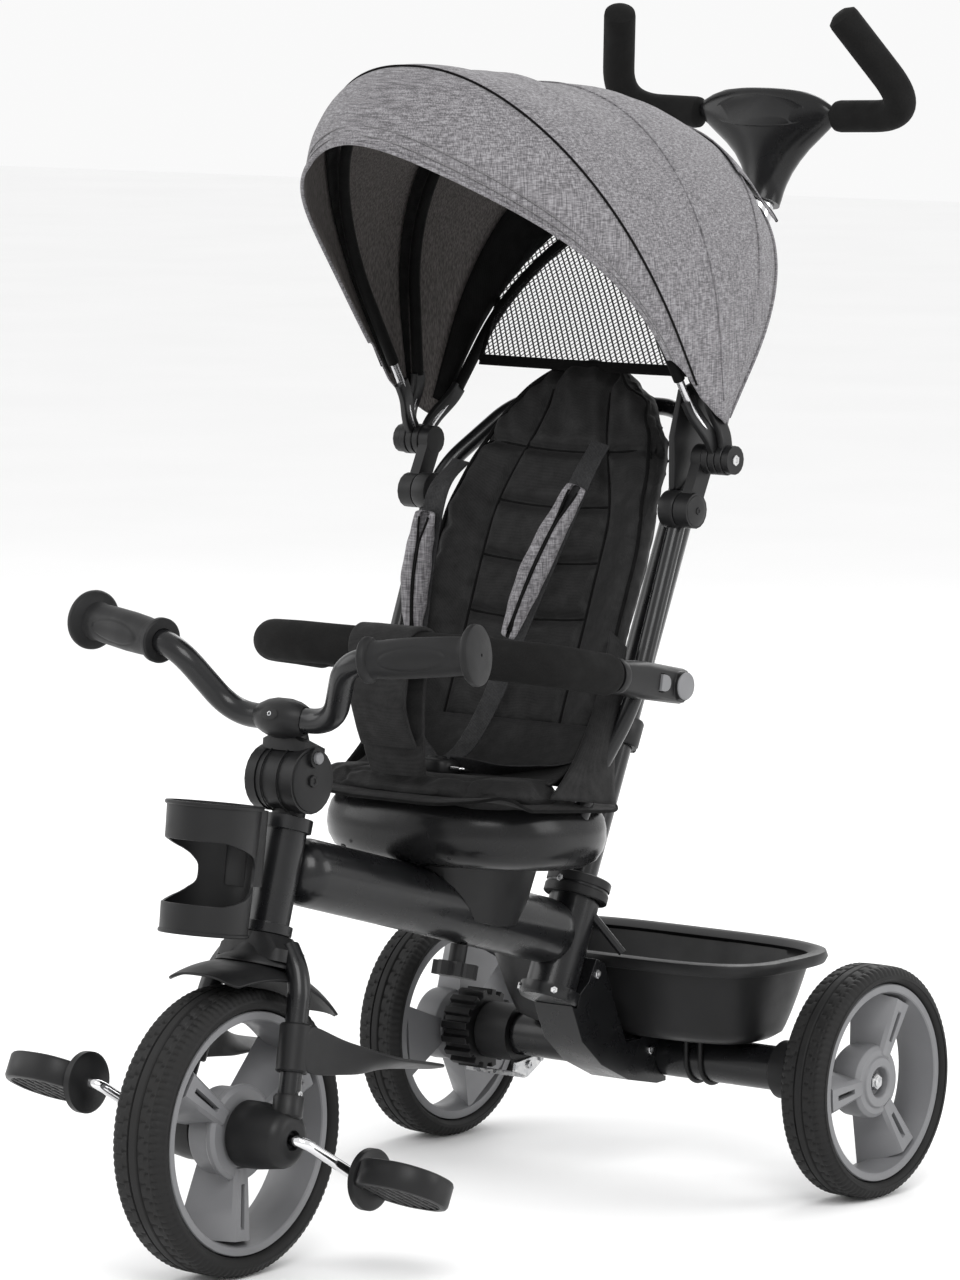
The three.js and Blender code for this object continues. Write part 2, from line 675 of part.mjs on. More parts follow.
// ---------- seat ----------
function seat() {
  const place = subGroup(0, SEAT.y, SEAT.z, SEAT.pitch);
  const middle = (SEAT.front + SEAT.rear) / 2;
  const half = (SEAT.rear - SEAT.front) / 2;
  const { under, top } = SEAT;
  const pan = loft([
    ovalRing(SEAT.halfWidth - 44, half - 38, under, 24, 2.6, middle),
    ovalRing(SEAT.halfWidth - 20, half - 16, under + 4, 24, 2.8, middle),
    ovalRing(SEAT.halfWidth - 4, half - 3, under + 18, 24, 2.8, middle),
    ovalRing(SEAT.halfWidth, half, top - 26, 24, 2.8, middle),
    ovalRing(SEAT.halfWidth - 1, half - 1, top - 12, 24, 2.8, middle),
    ovalRing(SEAT.halfWidth - 8, half - 7, top - 3, 24, 2.8, middle),
    ovalRing(SEAT.halfWidth - 16, half - 14, top, 24, 2.8, middle),
  ]);
  const shell = add(place, "seat_shell", pan, PLASTIC());
  const pad = loft([
    ovalRing(SEAT.halfWidth - 5, 64, top + 0.5, 24, 3.4, -43),
    ovalRing(SEAT.halfWidth - 1, 66, top + 9, 24, 3.4, -43),
    ovalRing(SEAT.halfWidth - 8, 59, top + 18, 24, 3.4, -43),
  ]);
  const cushion = add(place, "seat_pad", pad, BLACK_CLOTH());

  const saddle = loft([
    ovalRing(36, 46, -84, 20, 2.2, 18),
    ovalRing(43, 62, -60, 20, 2.2, 14),
    ovalRing(50, 76, under - 0.6, 20, 2.2, 8),
  ]);
  const mount = add(place, "saddle_mount", saddle, PLASTIC());
  const from = vec(0, MAIN_TUBE.yFront, MAIN_TUBE.zFront);
  const to = vec(0, MAIN_TUBE.yRear, MAIN_TUBE.zRear);
  trimBy(mount, trike, rod(from, to, MAIN_TUBE.outer + GAP, 24));
  const below = box(200, 300, 100, 0, 0, -50);
  const slope = new THREE.Group();
  slope.position.set(0, -10, 262);
  slope.rotation.x = -radians(15.5);
  trike.add(slope);
  trimBy(mount, slope, below);
  clampKnob();
  return [shell, cushion];
}

// The clamp screw hangs square to the main tube and ends in a star knob.
function clampKnob() {
  const place = subGroup(0, -18, 274.3, 15.5);
  const lobes = 7;
  const shape = new THREE.Shape();
  for (let i = 0; i < lobes * 4; i++) {
    const angle = (2 * Math.PI * i) / (lobes * 4);
    const radius = i % 4 < 2 ? 21 : 16;
    const spot = [radius * Math.cos(angle), radius * Math.sin(angle)];
    if (i === 0) shape.moveTo(...spot);
    else shape.lineTo(...spot);
  }
  const star = new THREE.ExtrudeGeometry(shape, { depth: 13, bevelEnabled: false });
  const disc = solid(star.translate(0, 0, -60));
  const screw = rod(vec(0, 0, -55), vec(0, 0, -30 - GAP), 8, 12);
  add(place, "seat_knob", join(disc, screw), PLASTIC());
}

function backrest(seatShell, cushion) {
  const place = subGroup(0, BACK.y, BACK.z, BACK.lean);
  const outline = new THREE.Shape();
  const { halfWidth, height } = BACK;
  outline.moveTo(-halfWidth + 16, BACK.foot);
  outline.lineTo(halfWidth - 16, BACK.foot);
  outline.quadraticCurveTo(halfWidth, 60, halfWidth, 190);
  outline.bezierCurveTo(halfWidth, 300, 84, height, 0, height);
  outline.bezierCurveTo(-84, height, -halfWidth, 300, -halfWidth, 190);
  outline.quadraticCurveTo(-halfWidth, 60, -halfWidth + 16, BACK.foot);
  const slab = new THREE.ExtrudeGeometry(outline, {
    depth: BACK.thick,
    bevelEnabled: false,
    curveSegments: 7,
  });
  slab.rotateX(Math.PI / 2).translate(0, BACK.thick, 0);
  const backPad = add(place, "backrest_pad", solid(slab), BLACK_CLOTH());

  const rear = BACK.thick + BACK_TUBE.radius + 2;
  const { x, y, radius } = BACK_TUBE;
  const foot = -64;
  const hoop = [
    vec(-x + 30, y, foot),
    vec(-x + 26, y, -14),
    vec(-x, y, 62),
    vec(-x, y, 262),
    vec(-96, rear, 350),
    vec(96, rear, 350),
    vec(x, y, 262),
    vec(x, y, 62),
    vec(x - 26, y, -14),
    vec(x - 30, y, foot),
  ];
  const knuckles = SIDES.map(([, sign]) =>
    rod(vec(sign * 131.5, -9, 242), vec(sign * 149, -9, 242), KNUCKLE.radius, 18),
  );
  const hoopTube = sweep(bentPath(hoop, 34), radius);
  add(place, "backrest_frame", join(hoopTube, ...knuckles), PAINT());
  const room = (sign, margin) => {
    const leg = [
      vec(sign * x, y, 62),
      vec(sign * (x - 26), y, -14),
      vec(sign * (x - 30), y, foot - GAP),
    ];
    return sweep(bentPath(leg, 34), radius + margin, 12);
  };
  for (const [, sign] of SIDES) {
    trimBy(seatShell, place, room(sign, 2 * GAP));
    trimBy(cushion, place, room(sign, 2));
    trimBy(backPad, place, room(sign, 2));
  }
}

function softHarness() {
  const strips = {
    left: [vec(-100, 50, 627), vec(-112, 44, 522)],
    right: [vec(52, 86, 660), vec(20, 30, 522)],
  };
  for (const [side, [top, low]] of Object.entries(strips)) {
    const along = top.clone().sub(low);
    const middle = top.clone().add(low).multiplyScalar(0.5);
    const holder = new THREE.Group();
    holder.position.copy(middle);
    const axes = new THREE.Matrix4();
    const up = along.clone().normalize();
    const across = vec(0.45, 0.9, 0).cross(up).normalize();
    axes.makeBasis(across, up.clone().cross(across), up);
    holder.quaternion.setFromRotationMatrix(axes);
    trike.add(holder);
    const length = along.length();
    const pad = loft([
      ovalRing(16, 4, -length / 2, 12, 3),
      ovalRing(21, 6, 0, 12, 3),
      ovalRing(18, 4, length / 2, 12, 3),
    ]);
    add(holder, "shoulder_pad_" + side, pad, GREY_CLOTH());
  }
}

// ---------- bumper bar ----------
function bumperBar() {
  const place = subGroup(0, BUMPER.y, BUMPER.z, BUMPER.pitch);
  const { halfWidth, reach, foam, tube } = BUMPER;
  for (const [side, sign] of SIDES) {
    const x = sign * halfWidth;
    const body = loft([
      bracketRing(x, 6, 11, 13),
      bracketRing(x, 0, 14, 16),
      bracketRing(x, -60, 14, 17),
      bracketRing(x, -96, 13, 14),
    ]);
    const disc = rod(vec(x + sign * 8, -10, 0), vec(x + sign * 17, -10, 0), 13, 18);
    const bore = rod(vec(x, -40, 0), vec(x, -110, 0), tube + GAP, 12);
    const button = dButton(9, 17.2, sign, x, 8);
    const bracket = add(place, "bar_bracket_" + side, cut(join(body, disc), bore, button), PLASTIC());
    const back = subGroup(0, BACK.y, BACK.z, BACK.lean);
    const postRoom = rod(
      vec(sign * BACK_TUBE.x, BACK_TUBE.y, -10),
      vec(sign * BACK_TUBE.x, BACK_TUBE.y, 200),
      BACK_TUBE.radius + GAP,
      10,
    );
    trimBy(bracket, back, postRoom);
    const press = dButton(11.1, 16.1, sign, x, 7.4);
    add(place, "bar_release_" + side, press, GREY_PLASTIC());
  }
  const loop = (end) => [
    vec(-halfWidth, end, 0),
    vec(-halfWidth, -reach + 34, 0),
    vec(-halfWidth + 62, -reach + foam, 0),
    vec(halfWidth - 62, -reach + foam, 0),
    vec(halfWidth, -reach + 34, 0),
    vec(halfWidth, end, 0),
  ];
  add(place, "bumper_bar", sweep(bentPath(loop(-44), 31), tube), PAINT());
  const core = sweep(bentPath(loop(-90), 31), tube + 1.2);
  add(place, "bumper_foam", cut(sweep(bentPath(loop(-100), 31), foam, 10), core), FOAM());
}

// A push button, flat in front and round behind, that reaches out of the bracket's side.
function dButton(inner, outer, sign, x, half) {
  const outline = [[-6, -half]];
  for (let turn = -90; turn <= 90; turn += 30)
    outline.push([half * Math.cos(radians(turn)), half * Math.sin(radians(turn))]);
  outline.push([-6, half]);
  const middle = x + (sign * (inner + outer)) / 2;
  return sidePlate(outline.map(([y, z]) => [y - 38, z]), outer - inner, middle);
}

function bracketRing(x, y, halfX, halfZ) {
  return ovalRing(halfX, halfZ, 0, 16, 3).map((p) => vec(x + p.x, y, p.y));
}

function crotchStrap() {
  const wide = (y, z, halfX, thick) =>
    ovalRing(halfX, thick, 0, 12, 4).map((p) => vec(p.x, y + p.y, z));
  const strap = loft([wide(-113, 411, 36, 5), wide(-130, 440, 33, 7), wide(-133, 497, 37, 6)]);
  add(trike, "crotch_strap", strap, BLACK_CLOTH());
}

// ---------- canopy ----------
// A point of a bow: turn runs from -90 at the right foot to 90 at the left foot.
function bowPoint(bow, turn, inset = 0) {
  const s = Math.sin(radians(turn));
  const c = Math.cos(radians(turn));
  const x = (bow.width - inset) * Math.sign(s) * Math.abs(s) ** bow.power;
  const radius = bow.low + (bow.top - inset - bow.low) * Math.abs(c) ** bow.power;
  const tilt = radians(bow.angle);
  return vec(x, -radius * Math.sin(tilt), radius * Math.cos(tilt));
}

function bowSolid(bow) {
  const tilt = radians(bow.angle);
  const foot = (sign, radius, x) =>
    vec(sign * x, -radius * Math.sin(tilt), radius * Math.cos(tilt));
  const end = (sign) => [
    foot(sign, ELBOW.radius - 2, bow.ring),
    foot(sign, 23, bow.ring),
    foot(sign, 50, bow.width - 8),
  ];
  const points = end(-1);
  for (let turn = -80; turn <= 80; turn += 16) points.push(bowPoint(bow, turn, 6));
  points.push(...end(1).reverse());
  const hoop = sweep(new THREE.CatmullRomCurve3(points).getPoints(24), 3.5, 4);
  const rings = SIDES.map(([, sign]) => {
    const ring = hollowTube(ELBOW.radius, 6 + GAP, bow.ring - 3.4, bow.ring + 3.4, 12, "x");
    return sign > 0 ? ring : ring.translate([-2 * bow.ring, 0, 0]);
  });
  const pinRoom = rod(vec(-200, 0, 0), vec(200, 0, 0), 6 + GAP, 16);
  return join(cut(hoop, pinRoom), ...rings);
}

function canopy() {
  const place = subGroup(0, ELBOW.y, ELBOW.z);
  for (const [side, sign] of SIDES) {
    const arm = (low, high, radius) => rod(vec(sign * low, 0, 0), vec(sign * high, 0, 0), radius, 16);
    const lowDisc = arm(149.5, 164, 16).translate([0, KNUCKLE.y, KNUCKLE.z]);
    const link = sidePlate(
      [
        [KNUCKLE.y - 9, KNUCKLE.z + 2],
        [KNUCKLE.y + 9, KNUCKLE.z - 4],
        [9, -4],
        [-9, 3],
      ],
      10.5,
      sign * 155,
    );
    const elbow = arm(149.6, 160.6, ELBOW.radius);
    const pin = arm(155, 184, 6);
    const cap = arm(183.4, 190, ELBOW.radius);
    add(place, "canopy_arm_" + side, join(lowDisc, link, elbow, pin, cap), PLASTIC());
  }
  add(place, "bow_front", bowSolid(BOWS.front), STEEL());
  add(place, "bow_middle", bowSolid(BOWS.middle), STEEL());
  add(place, "bow_rear", bowSolid(BOWS.rear), STEEL());
  add(place, "canopy_cover", canopyShell(), GREY_CLOTH());
}

// The hood between the lip and the rear bow: outer and inner skins joined along every edge.
function canopyShell() {
  const stations = [
    { angle: 45, flare: 6, width: 169, top: 412, shoulder: 126, low: 118, power: 1.15 },
    { angle: 33, flare: 3, width: 178, top: 413, shoulder: 120, low: 112, power: 0.93 },
    { angle: 20, flare: 0, width: 180, top: 380, shoulder: 115, low: 74, power: 0.93 },
    { angle: 6, flare: 0, width: 181, top: 340, shoulder: 110, low: 54, power: 0.93 },
    { angle: -10, flare: 0, width: 179, top: 329, shoulder: 105, low: 43, power: 0.95 },
    { angle: -24, flare: 0, width: 174, top: 316, shoulder: 100, low: 38, power: 1 },
    { angle: -38, flare: 0, width: 166, top: 299, shoulder: 100, low: 36, power: 1.04 },
  ];
  const steps = 14;
  const skin = (inset) =>
    stations.map((s) => {
      const place = (side, radius) => {
        const tilt = radians(s.angle + s.flare * Math.abs(side) ** 3);
        return vec(side * (s.width - inset), -radius * Math.sin(tilt), radius * Math.cos(tilt));
      };
      const row = [place(-1, s.low)];
      for (let i = 0; i <= steps; i++) {
        const turn = radians(-90 + (180 * i) / steps);
        const across = Math.sin(turn);
        const rise = Math.abs(Math.cos(turn)) ** s.power;
        const radius = s.shoulder + (s.top - inset - s.shoulder) * rise;
        row.push(place(Math.sign(across) * Math.abs(across) ** s.power, radius));
      }
      row.push(place(1, s.low));
      return row;
    });
  const outer = skin(0);
  const inner = skin(3);
  return shellBetween(outer, inner);
}

// Cloth with thickness: an outer and an inner grid of points, joined round the hem.
function shellBetween(outer, inner) {
  const positions = [];
  const quad = (a, b, c, d) => {
    for (const p of [a, b, c, a, c, d]) positions.push(...p.toArray());
  };
  const rows = outer.length - 1;
  const columns = outer[0].length - 1;
  for (let r = 0; r < rows; r++) {
    for (let c = 0; c < columns; c++) {
      quad(outer[r][c], outer[r][c + 1], outer[r + 1][c + 1], outer[r + 1][c]);
      quad(inner[r][c], inner[r + 1][c], inner[r + 1][c + 1], inner[r][c + 1]);
    }
    quad(outer[r][0], outer[r + 1][0], inner[r + 1][0], inner[r][0]);
    quad(inner[r][columns], inner[r + 1][columns], outer[r + 1][columns], outer[r][columns]);
  }
  for (let c = 0; c < columns; c++) {
    quad(inner[0][c], inner[0][c + 1], outer[0][c + 1], outer[0][c]);
    quad(outer[rows][c], outer[rows][c + 1], inner[rows][c + 1], inner[rows][c]);
  }
  const geometry = new THREE.BufferGeometry();
  geometry.setAttribute("position", new THREE.Float32BufferAttribute(positions, 3));
  return solid(geometry);
}

// ---------- push handle ----------
function pushHandle(column) {
  const { radius, bore, low, high } = PUSH_TUBE;
  const outerTube = turned(
    [
      [0, low],
      [radius, low],
      [radius, high],
      [bore, high],
      [bore, high - 330],
      [0, high - 330],
    ],
    18,
  );
  add(column, "push_tube", outerTube, PAINT());
  const inner = rod(vec(0, 0, high - 300), vec(0, 0, PUSH_HUB_T - GAP), bore - GAP, 16);
  add(column, "push_tube_inner", inner, CHROME());
  const hub = loft([
    ovalRing(17, 17, PUSH_HUB_T, 20, 2, 0),
    ovalRing(21, 18, PUSH_HUB_T + 20, 20, 2, -3),
    ovalRing(34, 20, PUSH_HUB_T + 42, 20, 2.2, -10),
    ovalRing(58, 19, PUSH_HUB_T + 61, 20, 2.4, -19),
    ovalRing(76, 17, PUSH_HUB_T + 75, 20, 2.6, -25),
    ovalRing(74, 16, PUSH_HUB_T + 87, 20, 2.6, -29),
    ovalRing(48, 11, PUSH_HUB_T + 98, 20, 2.4, -35),
  ]);
  add(column, "push_hub", hub, PLASTIC());
  for (const [side, sign] of SIDES) {
    const horn = [
      vec(sign * 77, -25.5, PUSH_HUB_T + 79),
      vec(sign * 173, -31, PUSH_HUB_T + 79.5),
      vec(sign * 125.7, -126, PUSH_HUB_T + 140),
    ];
    add(column, "push_grip_" + side, sweep(bentPath(horn, 46), 15, 12), FOAM());
  }
}

// ---------- assembly ----------
const steer = subGroup(0, FRONT_WHEEL.y, FRONT_WHEEL.radius, RAKE);
const column = subGroup(0, COLUMN.y, COLUMN.z, COLUMN.lean);
frontWheel();
headset(steer);
fork(steer);
footrests(steer);
handlebar(steer);
cupHolder(steer);
mainTube(steer, column);
rearColumn(column);
rearAxle(column);
rearWheels();
parkingBrake();
basket();
backrest(...seat());
softHarness();
bumperBar();
crotchStrap();
canopy();
pushHandle(column);

export default trike;
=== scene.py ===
"""Looks of the children's tricycle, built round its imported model. Metres, +Z up, front towards -Y."""

import json
import math

import bmesh
import bpy
from mathutils import Matrix, Vector, noise
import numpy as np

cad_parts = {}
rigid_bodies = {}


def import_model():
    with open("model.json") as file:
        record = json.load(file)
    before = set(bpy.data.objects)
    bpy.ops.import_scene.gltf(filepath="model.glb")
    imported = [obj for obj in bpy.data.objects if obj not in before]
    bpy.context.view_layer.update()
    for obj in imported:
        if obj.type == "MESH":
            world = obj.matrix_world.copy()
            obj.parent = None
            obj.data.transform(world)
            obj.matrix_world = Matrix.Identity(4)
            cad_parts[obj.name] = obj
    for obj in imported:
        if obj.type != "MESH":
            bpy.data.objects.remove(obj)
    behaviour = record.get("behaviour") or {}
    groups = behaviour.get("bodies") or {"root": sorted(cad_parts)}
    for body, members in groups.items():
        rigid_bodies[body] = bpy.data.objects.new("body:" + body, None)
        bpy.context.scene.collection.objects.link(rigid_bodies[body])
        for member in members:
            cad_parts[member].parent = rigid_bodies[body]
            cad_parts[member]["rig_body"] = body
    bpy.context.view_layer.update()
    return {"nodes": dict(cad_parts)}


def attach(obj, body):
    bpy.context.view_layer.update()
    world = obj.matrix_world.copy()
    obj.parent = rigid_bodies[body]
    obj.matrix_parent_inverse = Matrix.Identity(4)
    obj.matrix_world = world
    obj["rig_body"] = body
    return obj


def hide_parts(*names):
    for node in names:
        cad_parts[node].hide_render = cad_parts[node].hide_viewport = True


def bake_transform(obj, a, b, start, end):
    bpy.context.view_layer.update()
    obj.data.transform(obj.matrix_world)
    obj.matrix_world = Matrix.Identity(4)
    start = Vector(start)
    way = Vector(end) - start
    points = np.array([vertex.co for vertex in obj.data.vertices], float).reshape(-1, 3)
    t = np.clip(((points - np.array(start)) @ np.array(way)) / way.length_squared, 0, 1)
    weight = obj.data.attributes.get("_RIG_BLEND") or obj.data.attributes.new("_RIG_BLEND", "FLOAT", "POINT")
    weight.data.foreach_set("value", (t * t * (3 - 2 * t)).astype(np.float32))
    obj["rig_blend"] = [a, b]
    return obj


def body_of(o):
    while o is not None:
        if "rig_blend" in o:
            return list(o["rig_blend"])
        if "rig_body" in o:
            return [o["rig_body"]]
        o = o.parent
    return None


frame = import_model()

MM = 0.001
SIDES = ((1, "left", "l"), (-1, "right", "r"))

# ---------- sizes in millimetres, as in the model ----------
FRONT_RADIUS, FRONT_HALF, FRONT_RIM = 125, 29, 106
REAR_RADIUS, REAR_HALF, REAR_RIM = 106.6, 24.4, 90.5
REAR_TRACK = 244  # from the middle to each rear wheel
CRANK_BACK, CRANK_DROP = 57, 38  # from the front axle to each pedal's
FORK_X = 48  # where each fork leg bends in to the crown
BAR_RADIUS = 11
DRUM_Y, DRUM_Z = -9, 308  # the handlebar's hinge
SEAT_HALF, SEAT_DEPTH = 128, 92
BACK_HALF = 130
BUMPER_HALF = 160
KNUCKLE = (164.5, -23, -45)  # where the canopy arm turns on the backrest
BOW_FRONT = 32.5  # angles of the canopy bows about the elbows, from upright
BOW_MIDDLE = 6
BOW_REAR = -38
BOW_INSET = 9  # how far the bows lie inside the cloth
BOWS = {  # angle, width, top, low, ring's place, power
    "front": (BOW_FRONT, 171, 404, 120, 172, 0.93),
    "middle": (BOW_MIDDLE, 174, 332, 110, 179.5, 0.93),
    "rear": (BOW_REAR, 160, 293, 100, 164.5, 1.04),
}


# ---------- places: leaning sub-assemblies ----------
class Place:
    """Turns a leaning sub-assembly's own millimetres into metres in the frame, and back."""

    def __init__(self, x, y, z, lean=0.0):
        self.origin = Vector((x, y, z))
        self.turn = Matrix.Rotation(-math.radians(lean), 3, "X")

    def at(self, x, y, z):
        return (self.origin + self.turn @ Vector((x, y, z))) * MM

    def inside(self, point):
        return self.turn.transposed() @ (point / MM - self.origin)

    def way(self, x, y, z):
        return (self.turn @ Vector((x, y, z))).normalized()


TRIKE = Place(0, 6.1, 0)
STEER = Place(0, -343.4, 125, 17.5)
COLUMN = Place(0, 115.1, 187, 24.9)
SEAT = Place(0, -11.9, 348, 6)
BACK = Place(0, 29.1, 408, 22.4)
BUMPER = Place(0, 90.1, 480, 11)
CANOPY = Place(0, 136.1, 680)
AXLE = Place(0, 268.1, 106.6)
BASKET = Place(0, 266.6, 130)
CUP = Place(0, -374.9, 300, 8.5)


# ---------- meshes ----------
def make_mesh(name, points, faces, look, sharp=38):
    mesh = bpy.data.meshes.new(name)
    mesh.from_pydata([tuple(p) for p in points], [], faces)
    work = bmesh.new()
    work.from_mesh(mesh)
    bmesh.ops.remove_doubles(work, verts=work.verts, dist=2e-6)
    bmesh.ops.dissolve_degenerate(work, edges=work.edges, dist=1e-7)
    bmesh.ops.recalc_face_normals(work, faces=work.faces)
    work.to_mesh(mesh)
    work.free()
    mesh.polygons.foreach_set("use_smooth", [True] * len(mesh.polygons))
    mesh.set_sharp_from_angle(angle=math.radians(sharp))
    piece = bpy.data.objects.new(name, mesh)
    bpy.context.scene.collection.objects.link(piece)
    mesh.materials.append(look)
    return piece


def ring_faces(rows, count, closed=True):
    faces = []
    for r in range(rows - 1):
        for i in range(count if closed else count - 1):
            j = (i + 1) % count
            a = r * count
            faces.append((a + i, a + j, a + count + j, a + count + i))
    return faces


def loft(name, rings, look, caps=True, sharp=38):
    """A skin through rings of points with the same count, closed flat at both ends."""
    count = len(rings[0])
    points = [p for ring in rings for p in ring]
    faces = ring_faces(len(rings), count)
    if caps:
        faces.append(tuple(range(count)))
        faces.append(tuple(range(len(points) - count, len(points))))
    return make_mesh(name, points, faces, look, sharp)


def sheet_mesh(name, rows, look):
    """An open skin through rows of points."""
    count = len(rows[0])
    points = [p for row in rows for p in row]
    return make_mesh(name, points, ring_faces(len(rows), count, closed=False), look, 180)


def across_of(along):
    side = along.cross(Vector((0.31, 0.52, 0.79))).normalized()
    return side, along.cross(side).normalized()


def lathe(name, profile, centre, along, look, segments=64, sharp=38):
    """A turned part: the profile holds (radius, distance along) pairs in millimetres."""
    side, up = across_of(along)
    rings = []
    for radius, reach in profile:
        ring = []
        for i in range(segments):
            angle = 2 * math.pi * i / segments
            out = side * math.cos(angle) + up * math.sin(angle)
            ring.append(centre + (along * reach + out * radius) * MM)
        rings.append(ring)
    return loft(name, rings, look, caps=False, sharp=sharp)


def curve(t, points):
    """A point of the curve that starts and ends at the outer two of three points."""
    a, b, c = points
    return a * (1 - t) ** 2 + b * (2 * t * (1 - t)) + c * t**2


def bent_path(points, bend, steps=10):
    """Straight stretches joined by rounded corners."""
    path = [points[0]]
    for i in range(1, len(points) - 1):
        corner = points[i]
        before = corner.lerp(points[i - 1], bend * MM / (corner - points[i - 1]).length)
        after = corner.lerp(points[i + 1], bend * MM / (corner - points[i + 1]).length)
        path += [curve(k / steps, (before, corner, after)) for k in range(steps + 1)]
    path.append(points[-1])
    return path


def sweep_rings(path, section):
    """Rings of a section carried along a path; section(k) gives (side, up) pairs in millimetres."""
    side = Vector((0.31, 0.52, 0.79))
    rings = []
    for k, point in enumerate(path):
        into = point - path[max(k - 1, 0)]
        out = path[min(k + 1, len(path) - 1)] - point
        along = (into.normalized() + out.normalized()).normalized()
        side = (side - along * side.dot(along)).normalized()
        up = along.cross(side)
        rings.append([point + (side * a + up * b) * MM for a, b in section(k)])
    return rings


def round_section(radius, sides):
    return [
        (radius * math.cos(2 * math.pi * i / sides),
        radius * math.sin(2 * math.pi * i / sides)) for i in range(sides)
    ]


def tube(name, path, radius, look, sides=28):
    rings = sweep_rings(path, lambda k: round_section(radius, sides))
    first, last = path[0], path[-1]
    tip = [[first.lerp(p, 0.9) for p in rings[0]]]
    end = [[last.lerp(p, 0.9) for p in rings[-1]]]
    return loft(name, tip + rings + end, look)


def foam_tube(name, path, radius, look, rounding=6, sides=32):
    """A foam sleeve with softly rounded ends."""
    length = [0.0]
    for a, b in zip(path, path[1:]):
        length.append(length[-1] + (b - a).length / MM)

    def section(k):
        edge = min(length[k], length[-1] - length[k])
        if edge < rounding:
            return round_section(radius - rounding + math.sqrt(rounding**2 - (rounding - edge) ** 2), sides)
        return round_section(radius, sides)

    rings = sweep_rings(path, section)
    return loft(name, rings, look)


def refine(path, step):
    """The same path with points no further apart than step millimetres."""
    fine = [path[0]]
    for a, b in zip(path, path[1:]):
        parts = max(1, round((b - a).length / (step * MM)))
        fine += [a.lerp(b, (i + 1) / parts) for i in range(parts)]
    return fine


def oval(half_x, half_y, count=64, power=2.0):
    """Points of a rounded rectangle or ellipse in a plane, power 2 being an ellipse."""
    ring = []
    for i in range(count):
        angle = 2 * math.pi * (i + 0.5) / count
        c, s = math.cos(angle), math.sin(angle)
        x = half_x * math.copysign(abs(c) ** (2 / power), c)
        y = half_y * math.copysign(abs(s) ** (2 / power), s)
        ring.append((x, y))
    return ring


def stacked(place, outline, levels, centre=(0, 0)):
    """Rings of one outline, each shrunk about its centre and set at its own height."""
    cx, cy = centre
    return [[place.at(cx + x * shrink, cy + y * shrink, z) for x, y in outline] for shrink, z in levels]


def grid(rows, columns, point):
    """Rows of points; point(i, k) places each of them, both from 0 to 1."""
    return [[point(i / rows, k / columns) for k in range(columns + 1)] for i in range(rows + 1)]


def both_sides(half, swap=1):
    """A run from its left half: the half mirrored (or, with swap -1, turned half round), then itself."""
    return [(-x, *(swap * v for v in rest)) for x, *rest in reversed(half)] + half


def bevel(piece, width, angle=34):
    edge = piece.modifiers.new("edges", "BEVEL")
    edge.width = width * MM
    edge.segments = 2
    edge.limit_method = "ANGLE"
    edge.angle_limit = math.radians(angle)
    edge.harden_normals = True
    return piece


def solidify(piece, thickness, offset=0.0, inner=0, rim=0):
    skin = piece.modifiers.new("thickness", "SOLIDIFY")
    skin.thickness = thickness * MM
    skin.offset = offset
    skin.use_even_offset = True
    skin.material_offset = inner
    skin.material_offset_rim = rim
    return piece


SLOTS = {  # the model's own material for each look that is named otherwise
    "grip_plastic": "black_plastic",
    "bow_steel": "steel",
    "black_twill": "black_cloth",
    "black_binding": "black_cloth",
    "webbing": "black_cloth",
}


def fix(piece, body, *nodes, slot=None):
    """Puts a finished piece on its body, in place of the nodes that it stands for."""
    look = piece.data.materials[0].name.split(".")[0]
    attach(piece, body)
    slot or SLOTS.get(look, look)
    if nodes:
        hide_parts(*nodes)
    return piece


def turned(name, profile, spot, along, look, body, *nodes, segments=64, sharp=38):
    """A turned part, finished and on its body."""
    return fix(lathe(name, profile, spot, along, look, segments, sharp), body, *nodes)


def hardware(name, place, x, y, z, axis, radius, look, body, height=3.0, hexagon=True):
    """A screw or bolt head with a recess, standing on a face."""
    along = place.way(*axis)
    profile = [
        (0, height * 0.45), (radius * 0.42, height * 0.45), (radius * 0.5, height), (radius * 0.86, height),
        (radius, height * 0.7), (radius, -1), (0, -1),
    ]
    head = lathe(name, profile, place.at(x, y, z), along, look, 6 if hexagon else 28, sharp=30)
    return fix(head, body)


